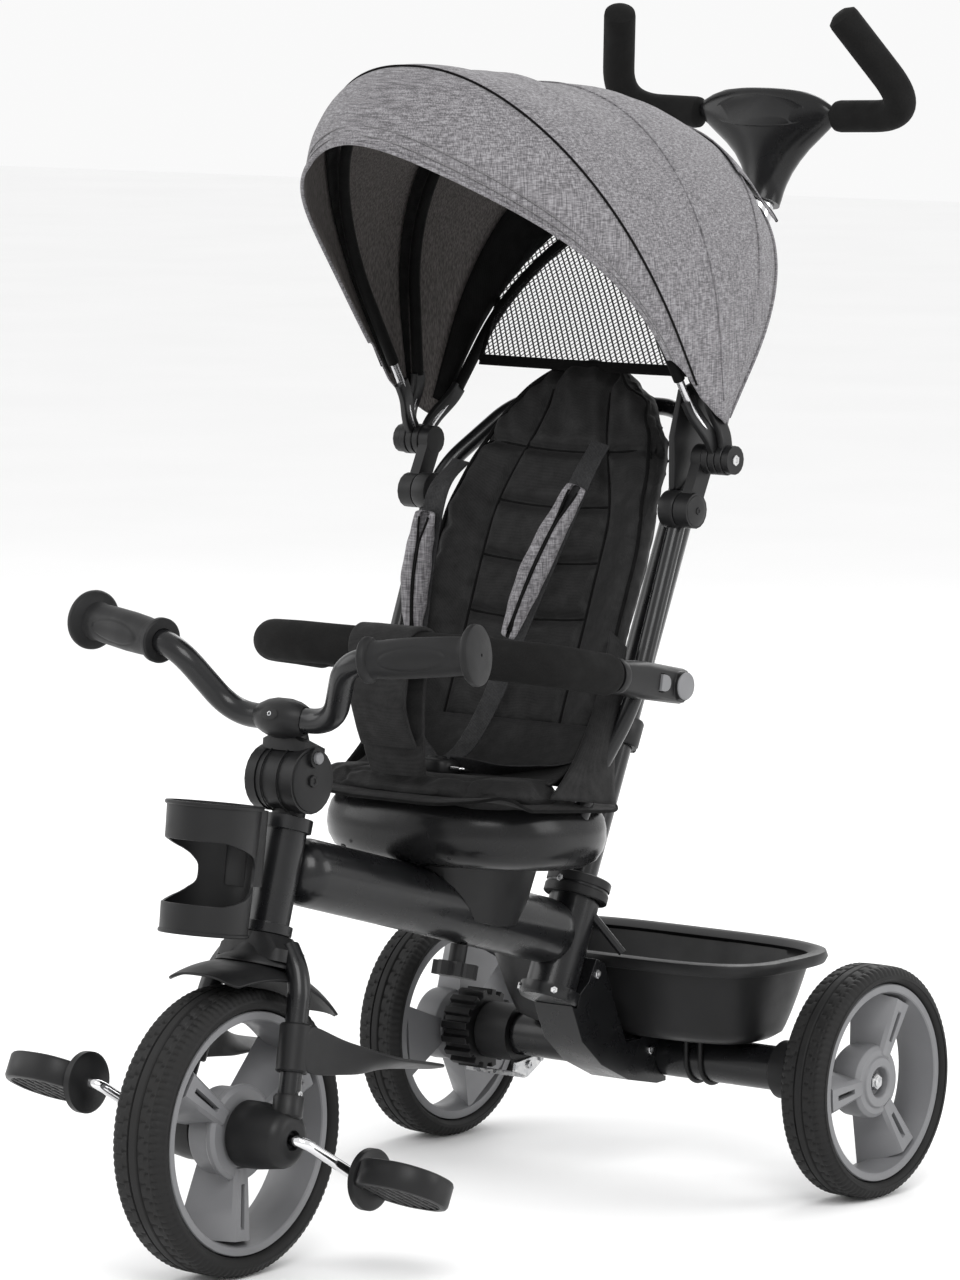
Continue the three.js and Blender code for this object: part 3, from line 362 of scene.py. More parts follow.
# ---------- materials ----------
class Look:
    """A procedural material being put together."""

    def __init__(self, name, color, roughness, **constants):
        self.material = bpy.data.materials.new(name)
        self.material.use_nodes = True
        self.tree = self.material.node_tree
        self.shader = self.tree.nodes["Principled BSDF"]
        self.place = self.tree.nodes.new("ShaderNodeTexCoord").outputs["Object"]
        self.set("Base Color", (*color, 1))
        self.set("Roughness", roughness)
        for key, value in constants.items():
            self.set(key.replace("_", " "), value)

    def set(self, socket, value):
        self.shader.inputs[socket].default_value = value

    def link(self, out, into):
        self.tree.links.new(out, into)

    def feed(self, socket, value):
        """Gives a socket another node's output, or a constant."""
        if isinstance(value, bpy.types.NodeSocket):
            self.link(value, socket)
        else:
            socket.default_value = value

    def node(self, kind, **inputs):
        made = self.tree.nodes.new("ShaderNode" + kind)
        for key, value in inputs.items():
            self.feed(made.inputs[key.replace("_", " ")], value)
        return made

    def stretched(self, x, y, z):
        return self.node("Mapping", Vector=self.place, Scale=(x, y, z)).outputs["Vector"]

    def noise(self, scale, detail=3.0, vector=None):
        made = self.node("TexNoise", Vector=vector or self.place, Scale=scale, Detail=detail)
        return made.outputs["Fac"]

    def math(self, operation, a, b):
        made = self.tree.nodes.new("ShaderNodeMath")
        made.operation = operation
        self.feed(made.inputs[0], a)
        self.feed(made.inputs[1], b)
        return made.outputs["Value"]

    def colors(self, fac, stops):
        ramp = self.node("ValToRGB", Fac=fac).color_ramp
        while len(ramp.elements) < len(stops):
            ramp.elements.new(0.5)
        for element, (spot, color) in zip(ramp.elements, stops):
            element.position = spot
            element.color = (*color, 1)
        return ramp.id_data.nodes[-1].outputs["Color"]

    def base(self, fac, stops):
        self.link(self.colors(fac, stops), self.shader.inputs["Base Color"])

    def rough(self, fac, low, high):
        spread = self.node("MapRange", Value=fac, From_Min=0.3, From_Max=0.7, To_Min=low, To_Max=high)
        self.link(spread.outputs["Result"], self.shader.inputs["Roughness"])

    def bump(self, height, depth):
        """depth is the height of the relief in millimetres."""
        made = self.node("Bump", Height=height, Distance=depth * MM, Strength=1.0)
        self.link(made.outputs["Normal"], self.shader.inputs["Normal"])

    def waves(self, pitch, across="X", vector=None):
        """Ribs with the given pitch in millimetres."""
        made = self.node("TexWave", Vector=vector or self.place, Scale=0.314 / (pitch * MM), Detail=0)
        made.bands_direction = across
        return made.outputs["Fac"]

    def weave(self, pitch):
        total = self.math("ADD", self.waves(pitch, "X"), self.waves(pitch, "Z"))
        return self.math("MULTIPLY", self.math("ADD", total, self.waves(pitch, "Y")), 0.33)


def painted_metal():
    look = Look(
        "black_paint", (0.012, 0.0122, 0.0135), 0.3, Coat_Weight=0.2, Coat_Roughness=0.12,
        Specular_IOR_Level=0.25,
    )
    look.base(look.noise(18), [(0.3, (0.005, 0.0051, 0.0057)), (0.7, (0.0078, 0.008, 0.0087))])
    look.rough(look.noise(60, 4), 0.24, 0.36)
    look.bump(look.noise(900, 2), 0.012)
    return look.material


def moulded_plastic(name="black_plastic", dark=0.007, rough=(0.36, 0.5), grain=0.03):
    look = Look(name, (dark, dark, dark * 1.06), rough[0], Specular_IOR_Level=0.26)
    light = dark * 1.35
    look.base(look.noise(25, 5), [(0.3, (dark, dark, dark * 1.05)), (0.7, (light, light, light * 1.05))])
    look.rough(look.noise(45, 5), *rough)
    cells = look.node("TexVoronoi", Vector=look.place, Scale=1300.0).outputs["Distance"]
    look.bump(cells, grain)
    return look.material


def grey_plastic():
    look = Look("grey_plastic", (0.2, 0.202, 0.21), 0.45)
    look.base(look.noise(14, 4), [(0.3, (0.138, 0.139, 0.145)), (0.7, (0.165, 0.166, 0.172))])
    look.rough(look.noise(50, 5), 0.38, 0.52)
    look.bump(look.noise(1500, 2), 0.02)
    return look.material


def tyre_rubber():
    look = Look("tyre", (0.014, 0.014, 0.0145), 0.75, Specular_IOR_Level=0.22)
    mottle = look.noise(40, 6)
    look.base(mottle, [(0.25, (0.007, 0.007, 0.0073)), (0.75, (0.014, 0.0137, 0.0134))])
    look.rough(mottle, 0.5, 0.74)
    look.bump(look.noise(1100, 3), 0.05)
    return look.material


def chrome():
    look = Look("chrome", (0.78, 0.78, 0.79), 0.07, Metallic=1.0)
    streaks = look.noise(300, 3, look.stretched(1, 1, 0.05))
    look.rough(streaks, 0.04, 0.14)
    look.base(look.noise(9), [(0.3, (0.7, 0.7, 0.71)), (0.7, (0.82, 0.82, 0.83))])
    return look.material


def galvanised():
    look = Look("steel", (0.5, 0.5, 0.5), 0.35, Metallic=1.0)
    flakes = look.node("TexVoronoi", Vector=look.place, Scale=260.0).outputs["Color"]
    spark = look.node("RGBToBW", Color=flakes).outputs["Val"]
    look.base(spark, [(0.2, (0.36, 0.365, 0.375)), (0.8, (0.6, 0.6, 0.6))])
    look.rough(spark, 0.26, 0.44)
    look.bump(look.noise(500, 3), 0.02)
    return look.material


def bow_steel():
    look = Look("bow_steel", (0.5, 0.5, 0.51), 0.28, Metallic=1.0)
    brushed = look.noise(700, 4, look.stretched(0.15, 0.15, 1))
    look.rough(brushed, 0.2, 0.36)
    look.base(look.noise(30, 4), [(0.3, (0.44, 0.44, 0.45)), (0.7, (0.58, 0.58, 0.59))])
    look.bump(brushed, 0.006)
    return look.material


def foam():
    dark = 0.0055
    look = Look("foam", (dark, dark, dark), 0.95, Specular_IOR_Level=0.15)
    pores = look.noise(1400, 4)
    look.base(
        pores,
        [(0.35, (dark * 0.7, dark * 0.7, dark * 0.72)), (0.65, (dark * 1.7, dark * 1.65, dark * 1.6))],
    )
    look.rough(look.noise(60, 3), 0.82, 0.97)
    look.bump(look.math("ADD", pores, look.math("MULTIPLY", look.noise(90, 3), 1.5)), 0.12)
    return look.material


def black_oxford(name="black_cloth", dark=0.006, pitch=1.1, shine=0.25):
    look = Look(
        name, (dark, dark, dark), 0.8, Sheen_Weight=0.03, Sheen_Roughness=0.4, Specular_IOR_Level=shine,
    )
    thread = look.weave(pitch)
    slub = look.math(
        "ADD", look.math("MULTIPLY", look.noise(600, 4), 0.6), look.math("MULTIPLY", thread, 0.5),
    )
    look.base(
        slub, [(0.3, (dark * 0.6, dark * 0.6, dark * 0.65)), (0.75, (dark * 2.1, dark * 2.05, dark * 2.05))]
    )
    look.rough(look.noise(80, 3), 0.62, 0.85)
    look.bump(look.math("ADD", thread, look.noise(260, 3)), 0.14)
    return look.material


def grey_melange():
    look = Look(
        "grey_cloth", (0.17, 0.165, 0.173), 0.9, Sheen_Weight=0.08, Sheen_Roughness=0.5,
        Specular_IOR_Level=0.2,
    )
    warp = look.noise(900, 2, look.stretched(1, 1, 0.06))
    weft = look.noise(900, 2, look.stretched(0.06, 0.2, 1))
    fleck = look.math("MULTIPLY", look.math("ADD", warp, weft), 0.5)
    look.base(
        fleck, [(0.38, (0.082, 0.079, 0.084)), (0.5, (0.158, 0.152, 0.16)), (0.62, (0.265, 0.259, 0.27))],
    )
    look.rough(fleck, 0.8, 0.98)
    look.bump(look.math("ADD", look.weave(0.9), fleck), 0.12)
    return look.material


def lining_cloth():
    look = Look("grey_lining", (0.075, 0.068, 0.064), 0.9, Specular_IOR_Level=0.2)
    fleck = look.noise(900, 3, look.stretched(1, 1, 0.2))
    look.base(fleck, [(0.35, (0.05, 0.046, 0.044)), (0.65, (0.125, 0.114, 0.11))])
    look.rough(fleck, 0.8, 0.95)
    look.bump(look.math("ADD", look.weave(0.9), fleck), 0.1)
    return look.material


def mesh_window():
    """Open net: thin dark threads round diamond holes."""
    look = Look("net_cloth", (0.03, 0.03, 0.03), 0.8)
    threads = []
    for slant in (48, -48):
        way = look.node("Mapping", Vector=look.place, Rotation=(0, math.radians(slant), 0))
        threads.append(look.waves(4.2, "X", way.outputs["Vector"]))
    net = look.math("MAXIMUM", *threads)
    look.base(look.noise(300), [(0.3, (0.02, 0.02, 0.022)), (0.7, (0.035, 0.035, 0.037))])
    look.link(look.colors(net, [(0.9, (0, 0, 0)), (0.96, (1, 1, 1))]), look.shader.inputs["Alpha"])
    return look.material


def webbing():
    look = Look("webbing", (0.011, 0.011, 0.012), 0.7, Specular_IOR_Level=0.25)
    ribs = look.waves(1.6, "X")
    look.base(look.noise(500, 3), [(0.3, (0.007, 0.007, 0.0075)), (0.7, (0.019, 0.019, 0.02))])
    look.rough(look.noise(90, 3), 0.55, 0.78)
    look.bump(look.math("ADD", ribs, look.noise(700, 2)), 0.15)
    return look.material


def thread_grey():
    look = Look("grey_thread", (0.12, 0.117, 0.12), 0.85)
    look.base(look.noise(900, 2), [(0.35, (0.08, 0.078, 0.08)), (0.65, (0.17, 0.165, 0.17))])
    look.bump(look.waves(1.2, "X"), 0.1)
    return look.material


def pale_floor():
    look = Look("floor", (0.96, 0.96, 0.96), 0.9, Specular_IOR_Level=0.1)
    look.base(look.noise(2, 2), [(0.3, (0.95, 0.95, 0.95)), (0.7, (0.97, 0.97, 0.97))])
    return look.material


PAINT = painted_metal()
PLASTIC = moulded_plastic()
SOFT_PLASTIC = moulded_plastic("grip_plastic", 0.0062, (0.46, 0.6), 0.05)
GLOSSY = moulded_plastic("seat_plastic", 0.0062, (0.2, 0.3), 0.012)
GREY = grey_plastic()
RUBBER = tyre_rubber()
CHROME = chrome()
STEEL = galvanised()
BOW_METAL = bow_steel()
FOAM = foam()
OXFORD = black_oxford()
TWILL = black_oxford("black_twill", 0.0072, 1.7)
# Real black binding tape, made extra dark and dull so that the cushion's seam and channel lines carry painted
# shade
BINDING_AND_SEAM_SHADE = black_oxford("black_binding", 0.0024, 0.8, 0.08)
MELANGE = grey_melange()
LINING = lining_cloth()
NET = mesh_window()
WEBBING = webbing()
THREAD = thread_grey()


# ---------- wheels ----------
def smoothstep(low, high, value):
    t = min(max((value - low) / (high - low), 0.0), 1.0)
    return t * t * (3 - 2 * t)


def groove_depth(turn, across):
    """How far the tread is cut in, from 0 to 1, at a turn counted in pitches and -1 to 1 across."""
    depth = 0.0
    for middle in (-0.2, 0.14):
        depth = max(depth, 1 - smoothstep(0.018, 0.04, abs(across - middle)))
    if 0.2 < across < 0.56 or -0.6 < across < -0.27:
        step = 0.25 if abs(across) > 0.42 else 0.0
        away = abs((turn + step) % 1.0 - 0.5)
        depth = max(depth, 0.8 * (1 - smoothstep(0.05, 0.16, away)))
    elif 0.62 < abs(across) < 0.97:
        away = abs((2 * turn) % 1.0 - 0.5)
        depth = max(depth, 0.75 * (1 - smoothstep(0.14, 0.3, away)))
    return depth


def tyre_profile(across, radius):
    """Radius of the tread at -1 to 1 across the tyre, with its rounded shoulders."""
    shoulder = max(abs(across) - 0.66, 0.0) / 0.34
    return radius - 0.9 * across**2 - 9.0 * shoulder**2.2


def tyre(node, centre, radius, half, rim, body, pitches):
    steps = pitches * 8
    bands = 74
    rings = []
    walls = [(rim + 1, -half + 5), (rim + 4, -half + 1.2), (rim + 8, -half + 0.2), (radius - 11, -half)]
    for i in range(steps):
        angle = 2 * math.pi * i / steps
        out = Vector((0, math.sin(angle), math.cos(angle)))
        ring = [centre + (Vector((x, 0, 0)) + out * r) * MM for r, x in walls]
        for k in range(bands + 1):
            across = -1 + 2 * k / bands
            r = tyre_profile(across, radius) - 1.7 * groove_depth(i / 8, across)
            ring.append(centre + (Vector((across * half, 0, 0)) + out * r) * MM)
        ring += [centre + (Vector((-x, 0, 0)) + out * r) * MM for r, x in reversed(walls)]
        rings.append(ring)
    piece = loft("tread_" + node, rings + [rings[0]], RUBBER, caps=False, sharp=50)
    return fix(piece, body, node)


def spoke_rings(wheel_rim, half, outward, turn, hub):
    """Sections of a wedge spoke from the hub to the ring: a slotted crest with flanks falling behind."""
    rings = []
    stations = [hub - 9, hub, hub + 3, hub + 5, hub + 6.5, 0.5, 0.75, 1.0, 1.001, 1.03, 1.05]
    start, stop = hub + 6.5, wheel_rim - 17
    spin = Matrix.Rotation(-math.radians(turn), 3, "X")
    for s in stations:
        reach = s if s > 1.2 else (start + (stop - start) * s if s <= 1 else wheel_rim - 14 + (s - 1) * 200)
        part = (reach - hub) / (wheel_rim - hub)
        crest = 6.5 + 3.5 * part
        flank = 15 + 22 * part
        top = half - 9 + 3 * part
        slot = 6.0 if start - 0.5 <= reach <= stop + 0.5 else 0.0
        wide = 1.7 + 0.5 * part
        section = [
            (-flank, 6 - half), (-crest - 3, top - 3), (-crest, top), (-wide - 0.4, top),
            (-wide, top - slot - 0.1), (wide, top - slot - 0.1), (wide + 0.4, top), (crest, top),
            (crest + 3, top - 3), (flank, 6 - half),
        ]
        bow = math.sqrt(max((wheel_rim - 1.5) ** 2 - flank**2, 0))
        reach = min(reach, bow + 8)
        rings.append([spin @ Vector((outward * x, y, reach)) for y, x in section])
    return rings


def rim(node, centre, rim_radius, half, outward, turn, hub_profile, body, hub):
    """The pale wheel: a ring with a lip, a stepped hub and three slotted wedge spokes."""
    edge = rim_radius - 0.2
    w = half - 5
    ring = [
        (edge, -w), (edge, w - 0.5), (edge - 0.8, w + 0.6), (edge - 6.5, w + 0.6), (edge - 7.6, w - 0.4),
        (edge - 8.4, w - 5), (edge - 10.5, w - 16), (edge - 11, -w + 10), (edge - 8.5, -w + 3),
        (edge - 7.5, -w - 0.4), (edge - 0.8, -w - 0.4), (edge, -w),
    ]
    along = Vector((outward, 0, 0))
    turned("wheel_" + node, ring, centre, along, GREY, body, node, segments=128, sharp=30)
    bevel(turned("wheel_hub_" + node, hub_profile, centre, along, GREY, body, segments=72, sharp=30), 1.0)
    for k in range(3):
        rings = spoke_rings(rim_radius - 9, half, outward, turn + 120 * k, hub)
        rings = [[centre + p * MM for p in r] for r in rings]
        spoke = loft(f"wheel_spoke_{k}_{node}", rings, GREY, sharp=24)
        bevel(fix(spoke, body), 0.7)
        # A dark strip in each slot stands in for the groove's shade
        slot_shade_strip(f"wheel_slot_shade_{k}_{node}", rings, body)


def slot_shade_strip(name, rings, body):
    """The dark strip at the bottom of a spoke's slot: painted shade in the groove."""
    lift = (rings[5][3] - rings[5][4]).normalized() * 0.4 * MM
    rows = [[r[4] + lift, r[5] + lift] for r in rings[4:8]]
    strip = sheet_mesh(name, rows, PLASTIC)
    fix(strip, body)


def front_wheel():
    centre = STEER.at(0, 0, 0)
    tyre("tyre_front", centre, FRONT_RADIUS, FRONT_HALF, FRONT_RIM, "front_wheel", 58)
    hub = [(0, -18), (30, -18), (38, -12), (39, 8), (42, 11), (42, 15), (38, 17.5), (0, 17.5)]
    rim("rim_front", centre, FRONT_RIM, FRONT_HALF, 1, -55, hub, "front_wheel", 39)
    half = [(84, 0, 0), (98, CRANK_BACK, -CRANK_DROP), (186, CRANK_BACK, -CRANK_DROP)]
    path = bent_path([centre + Vector(p) * MM for p in both_sides(half, -1)], 11)
    fix(tube("crank", path, 5, CHROME, 24), "front_wheel", "crank_rod")


def rear_wheels():
    for sign, side, short in SIDES:
        centre = AXLE.at(sign * REAR_TRACK, 0, 0)
        body = "rear_wheel_" + short
        tyre("tyre_rear_" + side, centre, REAR_RADIUS, REAR_HALF, REAR_RIM, body, 50)
        hub = [
            (0, -20), (28, -20), (33, -14), (34, 4), (33, 11), (29, 14), (24, 14.5), (22.5, 17), (15, 17),
            (13.6, 15.5), (13, 7), (0, 7),
        ]
        rim("rim_rear_" + side, centre, REAR_RIM, REAR_HALF, sign, 26, hub, body, 34)


def pedals():
    """Block pedals: a rounded body with a raised tread grid and a collar at the crank."""
    for sign, side, short in SIDES:
        axle = STEER.origin + sign * Vector((0, CRANK_BACK, -CRANK_DROP))
        hinge = Place(*axle, 26)
        body = "pedal_" + short
        middle, half = 149, 41
        outline = []
        for i in range(64):
            angle = 2 * math.pi * (i + 0.5) / 64
            c, s = math.cos(angle), math.sin(angle)
            x = half * math.copysign(abs(c) ** 0.72, c)
            wide = 38 - 13 * abs(x / half) ** 3
            outline.append((x, wide * math.copysign(abs(s) ** 0.6, s)))
        levels = [(0.82, 8.5), (0.84, 12), (0.93, 12), (0.97, 11.2), (1, 9)]
        levels = [(shrink, -z) for shrink, z in levels] + levels[::-1]
        rings = stacked(hinge, [(sign * x, y) for x, y in outline], levels, (sign * middle, 0))
        block = loft("pedal_body_" + side, rings, PLASTIC, sharp=30)
        fix(block, body, "pedal_" + side)
        for k in range(-3, 4):
            reach = 30 - 0.16 * abs(k) ** 3
            for face in (-1, 1):
                bar = [hinge.at(sign * (middle + k * 9), end * reach, face * 9.6) for end in (-1, 1)]
                fix(tube(f"pedal_rib_{k + 3}_{face}_{side}", bar, 2.2, PLASTIC, 10), body)
        for k in (-1, 0, 1):
            for face in (-1, 1):
                bar = [hinge.at(sign * x, k * 13, face * 9.2) for x in (119, 178)]
                fix(tube(f"pedal_bar_{k + 1}_{face}_{side}", bar, 2.0, PLASTIC, 10), body)
        collar = [(0, 0), (24, 0), (27, 2), (27, 8), (24, 10), (12, 10.5), (10, 14), (0, 14)]
        spot = hinge.at(sign * 106, 0, 0)
        turned("pedal_collar_" + side, collar, spot, hinge.way(sign, 0, 0), PLASTIC, body)


# ---------- fork, headset and handlebar ----------
def fork():
    for sign, side, _ in SIDES:
        leg = [STEER.at(sign * 61, 0, 22), STEER.at(sign * FORK_X, 0, 138), STEER.at(sign * 28, 0, 163)]
        path = bent_path(leg, 20)
        fix(tube("fork_tube_" + side, path, 10, PAINT), "steering", "fork_leg_" + side)
        housing = [(0, 20), (27.6, 20), (29.2, 21.5), (29.2, 37), (28.8, 40), (25.4, 64)]
        housing += [(23.6, 68), (19, 72), (15, 73), (9, 73), (9, 68), (0, 68)]
        centre, out = STEER.at(0, 0, 0), Vector((sign, 0, 0))
        node = "axle_housing_" + side
        turned("axle_cap_" + side, housing, centre, out, PLASTIC, "steering", node, segments=72)
        low = STEER.at(sign * 61.5, 0, 18)
        sleeve = [(0, 0), (11.5, 0), (13.4, 2), (13.4, 18), (12, 20), (0, 20)]
        along = (leg[1] - low).normalized()
        turned("fork_sleeve_" + side, sleeve, low, along, PLASTIC, "steering", segments=40)
        hardware("fork_bolt_" + side, STEER, sign * 70, 0, 40, (sign, 0, 0), 3, STEEL, "steering", 1.5)
        hardware("fork_screw_" + side, STEER, sign * 62, -3, 96, (sign, -0.35, 0), 5, PLASTIC, "steering", 3)


def fender():
    """The mudguard: a curved blade with turned-down sides and a long pointed tail."""

    def point(along, across):
        turn = -33 + 68 * along
        part = abs(turn) / 34
        x = (2 * across - 1) * (42 - 4 * part**3 - 10 * smoothstep(0.9, 1.0, part))
        radius = 146.5 - 13 * abs(x / 42) ** 3
        return STEER.at(x, math.sin(math.radians(turn)) * radius, math.cos(math.radians(turn)) * radius)

    blade = solidify(sheet_mesh("mudguard", grid(48, 24, point), PLASTIC), 2.6)
    bevel(fix(blade, "steering", "fender"), 0.8, angle=50)
    bell = [(19, 174), (22, 172), (23.5, 162), (28, 153), (38, 146.5), (38, 144), (18, 146), (19, 174)]
    spot, up = STEER.at(0, 0, 0), STEER.way(0, 0, 1)
    turned("crown_skirt", bell, spot, up, PLASTIC, "steering", segments=72, sharp=60)


def footrests():
    """Fold-out footrests: a band round the fork leg with a curved blade."""
    splay = math.atan2(-14, 124)
    reach = 62 - 64 * 14 / 124
    for sign, side, short in SIDES:
        tilt = Matrix.Rotation(sign * splay, 3, "Y")

        def at(x, y, z):
            p = tilt @ Vector((sign * x, y, z))
            return STEER.at(sign * reach + p.x, p.y, 78 + p.z)

        stations = [
            (-4, 12.6, 0, 19, 4, 90), (10, 13, 0, 21, 4, 90), (26, 13.5, -0.5, 19, 4, 89),
            (45, 17, -1, 15, 4, 80), (62, 21, -0.5, 13.5, 4, 65), (78, 24, 0, 13, 4, 45),
            (93, 27, 2, 13.5, 4, 22), (108, 29, 4, 14, 4, 12), (130, 30.5, 7, 14, 4, 8),
            (150, 31, 9, 13, 3.6, 6), (162, 31, 10.5, 10, 3.2, 6), (168, 31, 11, 5, 2.4, 6),
        ]
        rings = []
        for y, x, z, half, thick, turn in stations:
            angle = math.radians(turn)
            ring = []
            for a, b in oval(half, thick / 2, 28, 5):
                c, s = math.cos(angle), math.sin(angle)
                ring.append(at(x + a * c - b * s, y, z + a * s + b * c))
            rings.append(ring)
        blade = loft("footrest_blade_" + side, rings, PLASTIC, sharp=50)
        smooth = blade.modifiers.new("smooth", "SUBSURF")
        smooth.levels = smooth.render_levels = 2
        fix(blade, "footrest_" + short, "footrest_" + side)
        band = [(10.4, -21), (13, -21), (14.2, -19.5), (14.2, 19.5), (13, 21), (10.4, 21), (10.4, -21)]
        along = (at(0, 0, 20) - at(0, 0, -20)).normalized()
        turned("footrest_band_" + side, band, at(0, 0, 0), along, PLASTIC, "footrest_" + short, segments=48)


def handlebar():
    half = [(56, -31, 357), (95, -80.4, 404.3), (212, -57, 423)]
    path = bent_path([STEER.at(*p) for p in both_sides(half)], 26, 14)
    fix(tube("handlebar_tube", path, BAR_RADIUS, PAINT), "handlebars", "handlebar")
    for sign, side, _ in SIDES:
        start, stop = STEER.at(sign * 113, -76.8, 407.2), STEER.at(sign * 212, -57, 423)
        along = (stop - start).normalized()
        length = (stop - start).length / MM
        profile = [
            (11.2, 0), (18.5, 0), (20, 1.5), (20, 5.5), (18.6, 7.2), (16.6, 8.5), (16.2, 14), (17.0, 26),
            (17.6, length * 0.45), (17.2, length * 0.75), (16.4, length - 9), (17.5, length - 5),
            (24.6, length - 2.2), (26.3, length - 0.6), (26.6, length + 2), (26.0, length + 4.6),
            (24.4, length + 5.6), (12, length + 6.8), (1.6, length + 7.2), (1.2, length + 5.5),
            (0, length + 5.5),
        ]
        grip = lathe("grip_sleeve_" + side, profile, start, along, SOFT_PLASTIC, 96, sharp=44)
        grip_relief(grip, start, along, length)
        fix(grip, "handlebars", "grip_" + side, slot="foam")


def grip_relief(grip, start, along, length):
    """Presses leaf-shaped finger panels into the grip's front and back."""
    side = along.cross(Vector((0, 0, 1))).normalized()
    up = side.cross(along).normalized()
    work = bmesh.new()
    work.from_mesh(grip.data)
    long_edges = []
    for edge in work.edges:
        way = (edge.verts[0].co - edge.verts[1].co).normalized()
        if edge.calc_length() > 6 * MM and abs(way.dot(along)) > 0.9:
            long_edges.append(edge)
    bmesh.ops.subdivide_edges(work, edges=long_edges, cuts=9, use_grid_fill=True)
    for v in work.verts:
        offset = v.co - start
        reach = offset.dot(along) / MM
        if not 10 < reach < length - 8:
            continue
        out = offset - along * offset.dot(along)
        around = math.atan2(out.dot(up), abs(out.dot(side)))
        lens = ((reach - length / 2) / 33) ** 2 + (around / 0.62) ** 2
        edge = math.exp(-((lens - 1) / 0.16) ** 2)
        v.co -= out.normalized() * (0.8 * edge - 0.35 * (1 - smoothstep(0.8, 1.1, lens))) * MM
    work.to_mesh(grip.data)
    work.free()
    grip.data.polygons.foreach_set("use_smooth", [True] * len(grip.data.polygons))


def drum():
    """Discs, button and screws of the handlebar's hinge, and the clamp's badge."""
    for sign, side, _ in SIDES:
        plate = [(0, 0), (24, 0), (26.5, 0.8), (27.2, -1), (27.2, -2), (0, -2)]
        spot = STEER.at(sign * 26.2, DRUM_Y, DRUM_Z)
        turned("drum_disc_" + side, plate, spot, Vector((sign, 0, 0)), PLASTIC, "handlebars")
    groove = [(28.4, -0.6), (29.6, -0.6), (29.6, 0.6), (28.4, 0.6), (28.4, -0.6)]
    for k, x in enumerate((-9, 9)):
        spot = STEER.at(x, DRUM_Y, DRUM_Z)
        turned(f"drum_line_{k}", groove, spot, Vector((1, 0, 0)), PLASTIC, "steering")
    hardware("drum_socket", STEER, 27, DRUM_Y, DRUM_Z, (1, 0, 0), 5.5, PLASTIC, "handlebars", 1.6)
    button = [(0, 7.2), (4.2, 7), (5.2, 6), (5.2, -0.4), (0, -0.4)]
    spot, out = STEER.at(26.4, -12, 328), Vector((1, 0, 0))
    turned("tilt_button_cap", button, spot, out, GREY, "tilt_release", "tilt_button", segments=32)
    rings = []
    for s in (1, 0.86, 0.8):
        rings.append(
            [STEER.at(a, -50 - 2.2 * math.cos(a / 12), 357 + b) for a, b in oval(9 * s, 5.5 * s, 36)]
        )
    badge = loft("clamp_plate", rings, PLASTIC, sharp=20)
    fix(badge, "handlebars")
    hardware("clamp_screw", STEER, 0, -51, 357, (0, -1, 0), 2.6, STEEL, "handlebars", 1.2)


def cup_holder():
    """Bottle holder: a tapered band and cup joined at the back, open in a C in front."""
    height, levels, steps = 112, 56, 120
    points, faces, index = [], [], {}

    def spot(level, step):
        """Radius, angle and height of a corner of the wall's grid."""
        z = height * level / levels
        return 38 + 3 * z / height, math.radians(-90 + 360 * step / steps), z

    def open_here(angle, z):
        """The C opening: how far back it reaches at height z decides it."""
        if not 25 < z < 80:
            return False
        return 39.5 * math.sin(angle) < 24 - 46 * abs((z - 52.5) / 27.5) ** 2.6

    for k in range(levels):
        for i in range(steps):
            _, angle, z = spot(k, i)
            if open_here(angle + math.radians(1.5), z + 1):
                continue
            face = []
            for key in ((k, i), (k, (i + 1) % steps), (k + 1, (i + 1) % steps), (k + 1, i)):
                if key not in index:
                    r, a, h = spot(*key)
                    index[key] = len(points)
                    points.append(CUP.at(r * math.cos(a), r * math.sin(a), h))
                face.append(index[key])
            faces.append(tuple(face))
    wall = make_mesh("cup_wall", points, faces, PLASTIC, sharp=60)
    relax_rim(wall, 6)
    solidify(wall, 2.8, offset=-1)
    bevel(fix(wall, "frame", "cup_holder"), 0.7, angle=50)
    up = CUP.way(0, 0, 1)
    for name, z, r in (("cup_rim", 111, 41.2), ("cup_base_rim", 1.5, 37.6)):
        lip = [(r - 2.6, -1.8), (r + 0.8, -1.8), (r + 1.6, -0.8)]
        lip += [(a, -b) for a, b in reversed(lip)] + lip[:1]
        turned(name, lip, CUP.at(0, 0, z), up, PLASTIC, "frame", segments=96)
    disc = [(0, 0), (37.6, 0), (37.6, 2.4), (0, 2.4)]
    turned("cup_base", disc, CUP.at(0, 0, 0.3), up, PLASTIC, "frame", segments=96)
    neck = stacked(CUP, oval(13, 14, 40, 5), [(1, z) for z in (43, 44.5, 107.5, 109)], (0, 47))
    bracket = loft("cup_bracket", neck, PLASTIC, sharp=40)
    fix(bracket, "frame")


def relax_rim(piece, rounds):
    """Evens out the stepped edge of an opening."""
    work = bmesh.new()
    work.from_mesh(piece.data)
    rim_verts = [v for v in work.verts if v.is_boundary]
    for _ in range(rounds):
        moved = {}
        for v in rim_verts:
            ends = [e.other_vert(v).co for e in v.link_edges if e.is_boundary]
            if len(ends) == 2:
                moved[v] = v.co.lerp((ends[0] + ends[1]) / 2, 0.5)
        for v, co in moved.items():
            v.co = co
    work.to_mesh(piece.data)
    work.free()


# ---------- frame ----------
def polished(node, look, width):
    """A model solid with clean faces, smooth curves and softened edges."""
    sharp = 34
    source = frame["nodes"][node]
    points = [v.co for v in source.data.vertices]
    faces = [tuple(p.vertices) for p in source.data.polygons]
    piece = make_mesh("smooth_" + node, points, faces, look, sharp)
    work = bmesh.new()
    work.from_mesh(piece.data)
    bmesh.ops.dissolve_limit(work, angle_limit=math.radians(1), verts=work.verts, edges=work.edges)
    work.to_mesh(piece.data)
    work.free()
    piece.data.set_sharp_from_angle(angle=math.radians(sharp))
    bevel(piece, width, sharp)
    return fix(piece, body_of(source)[0], node)


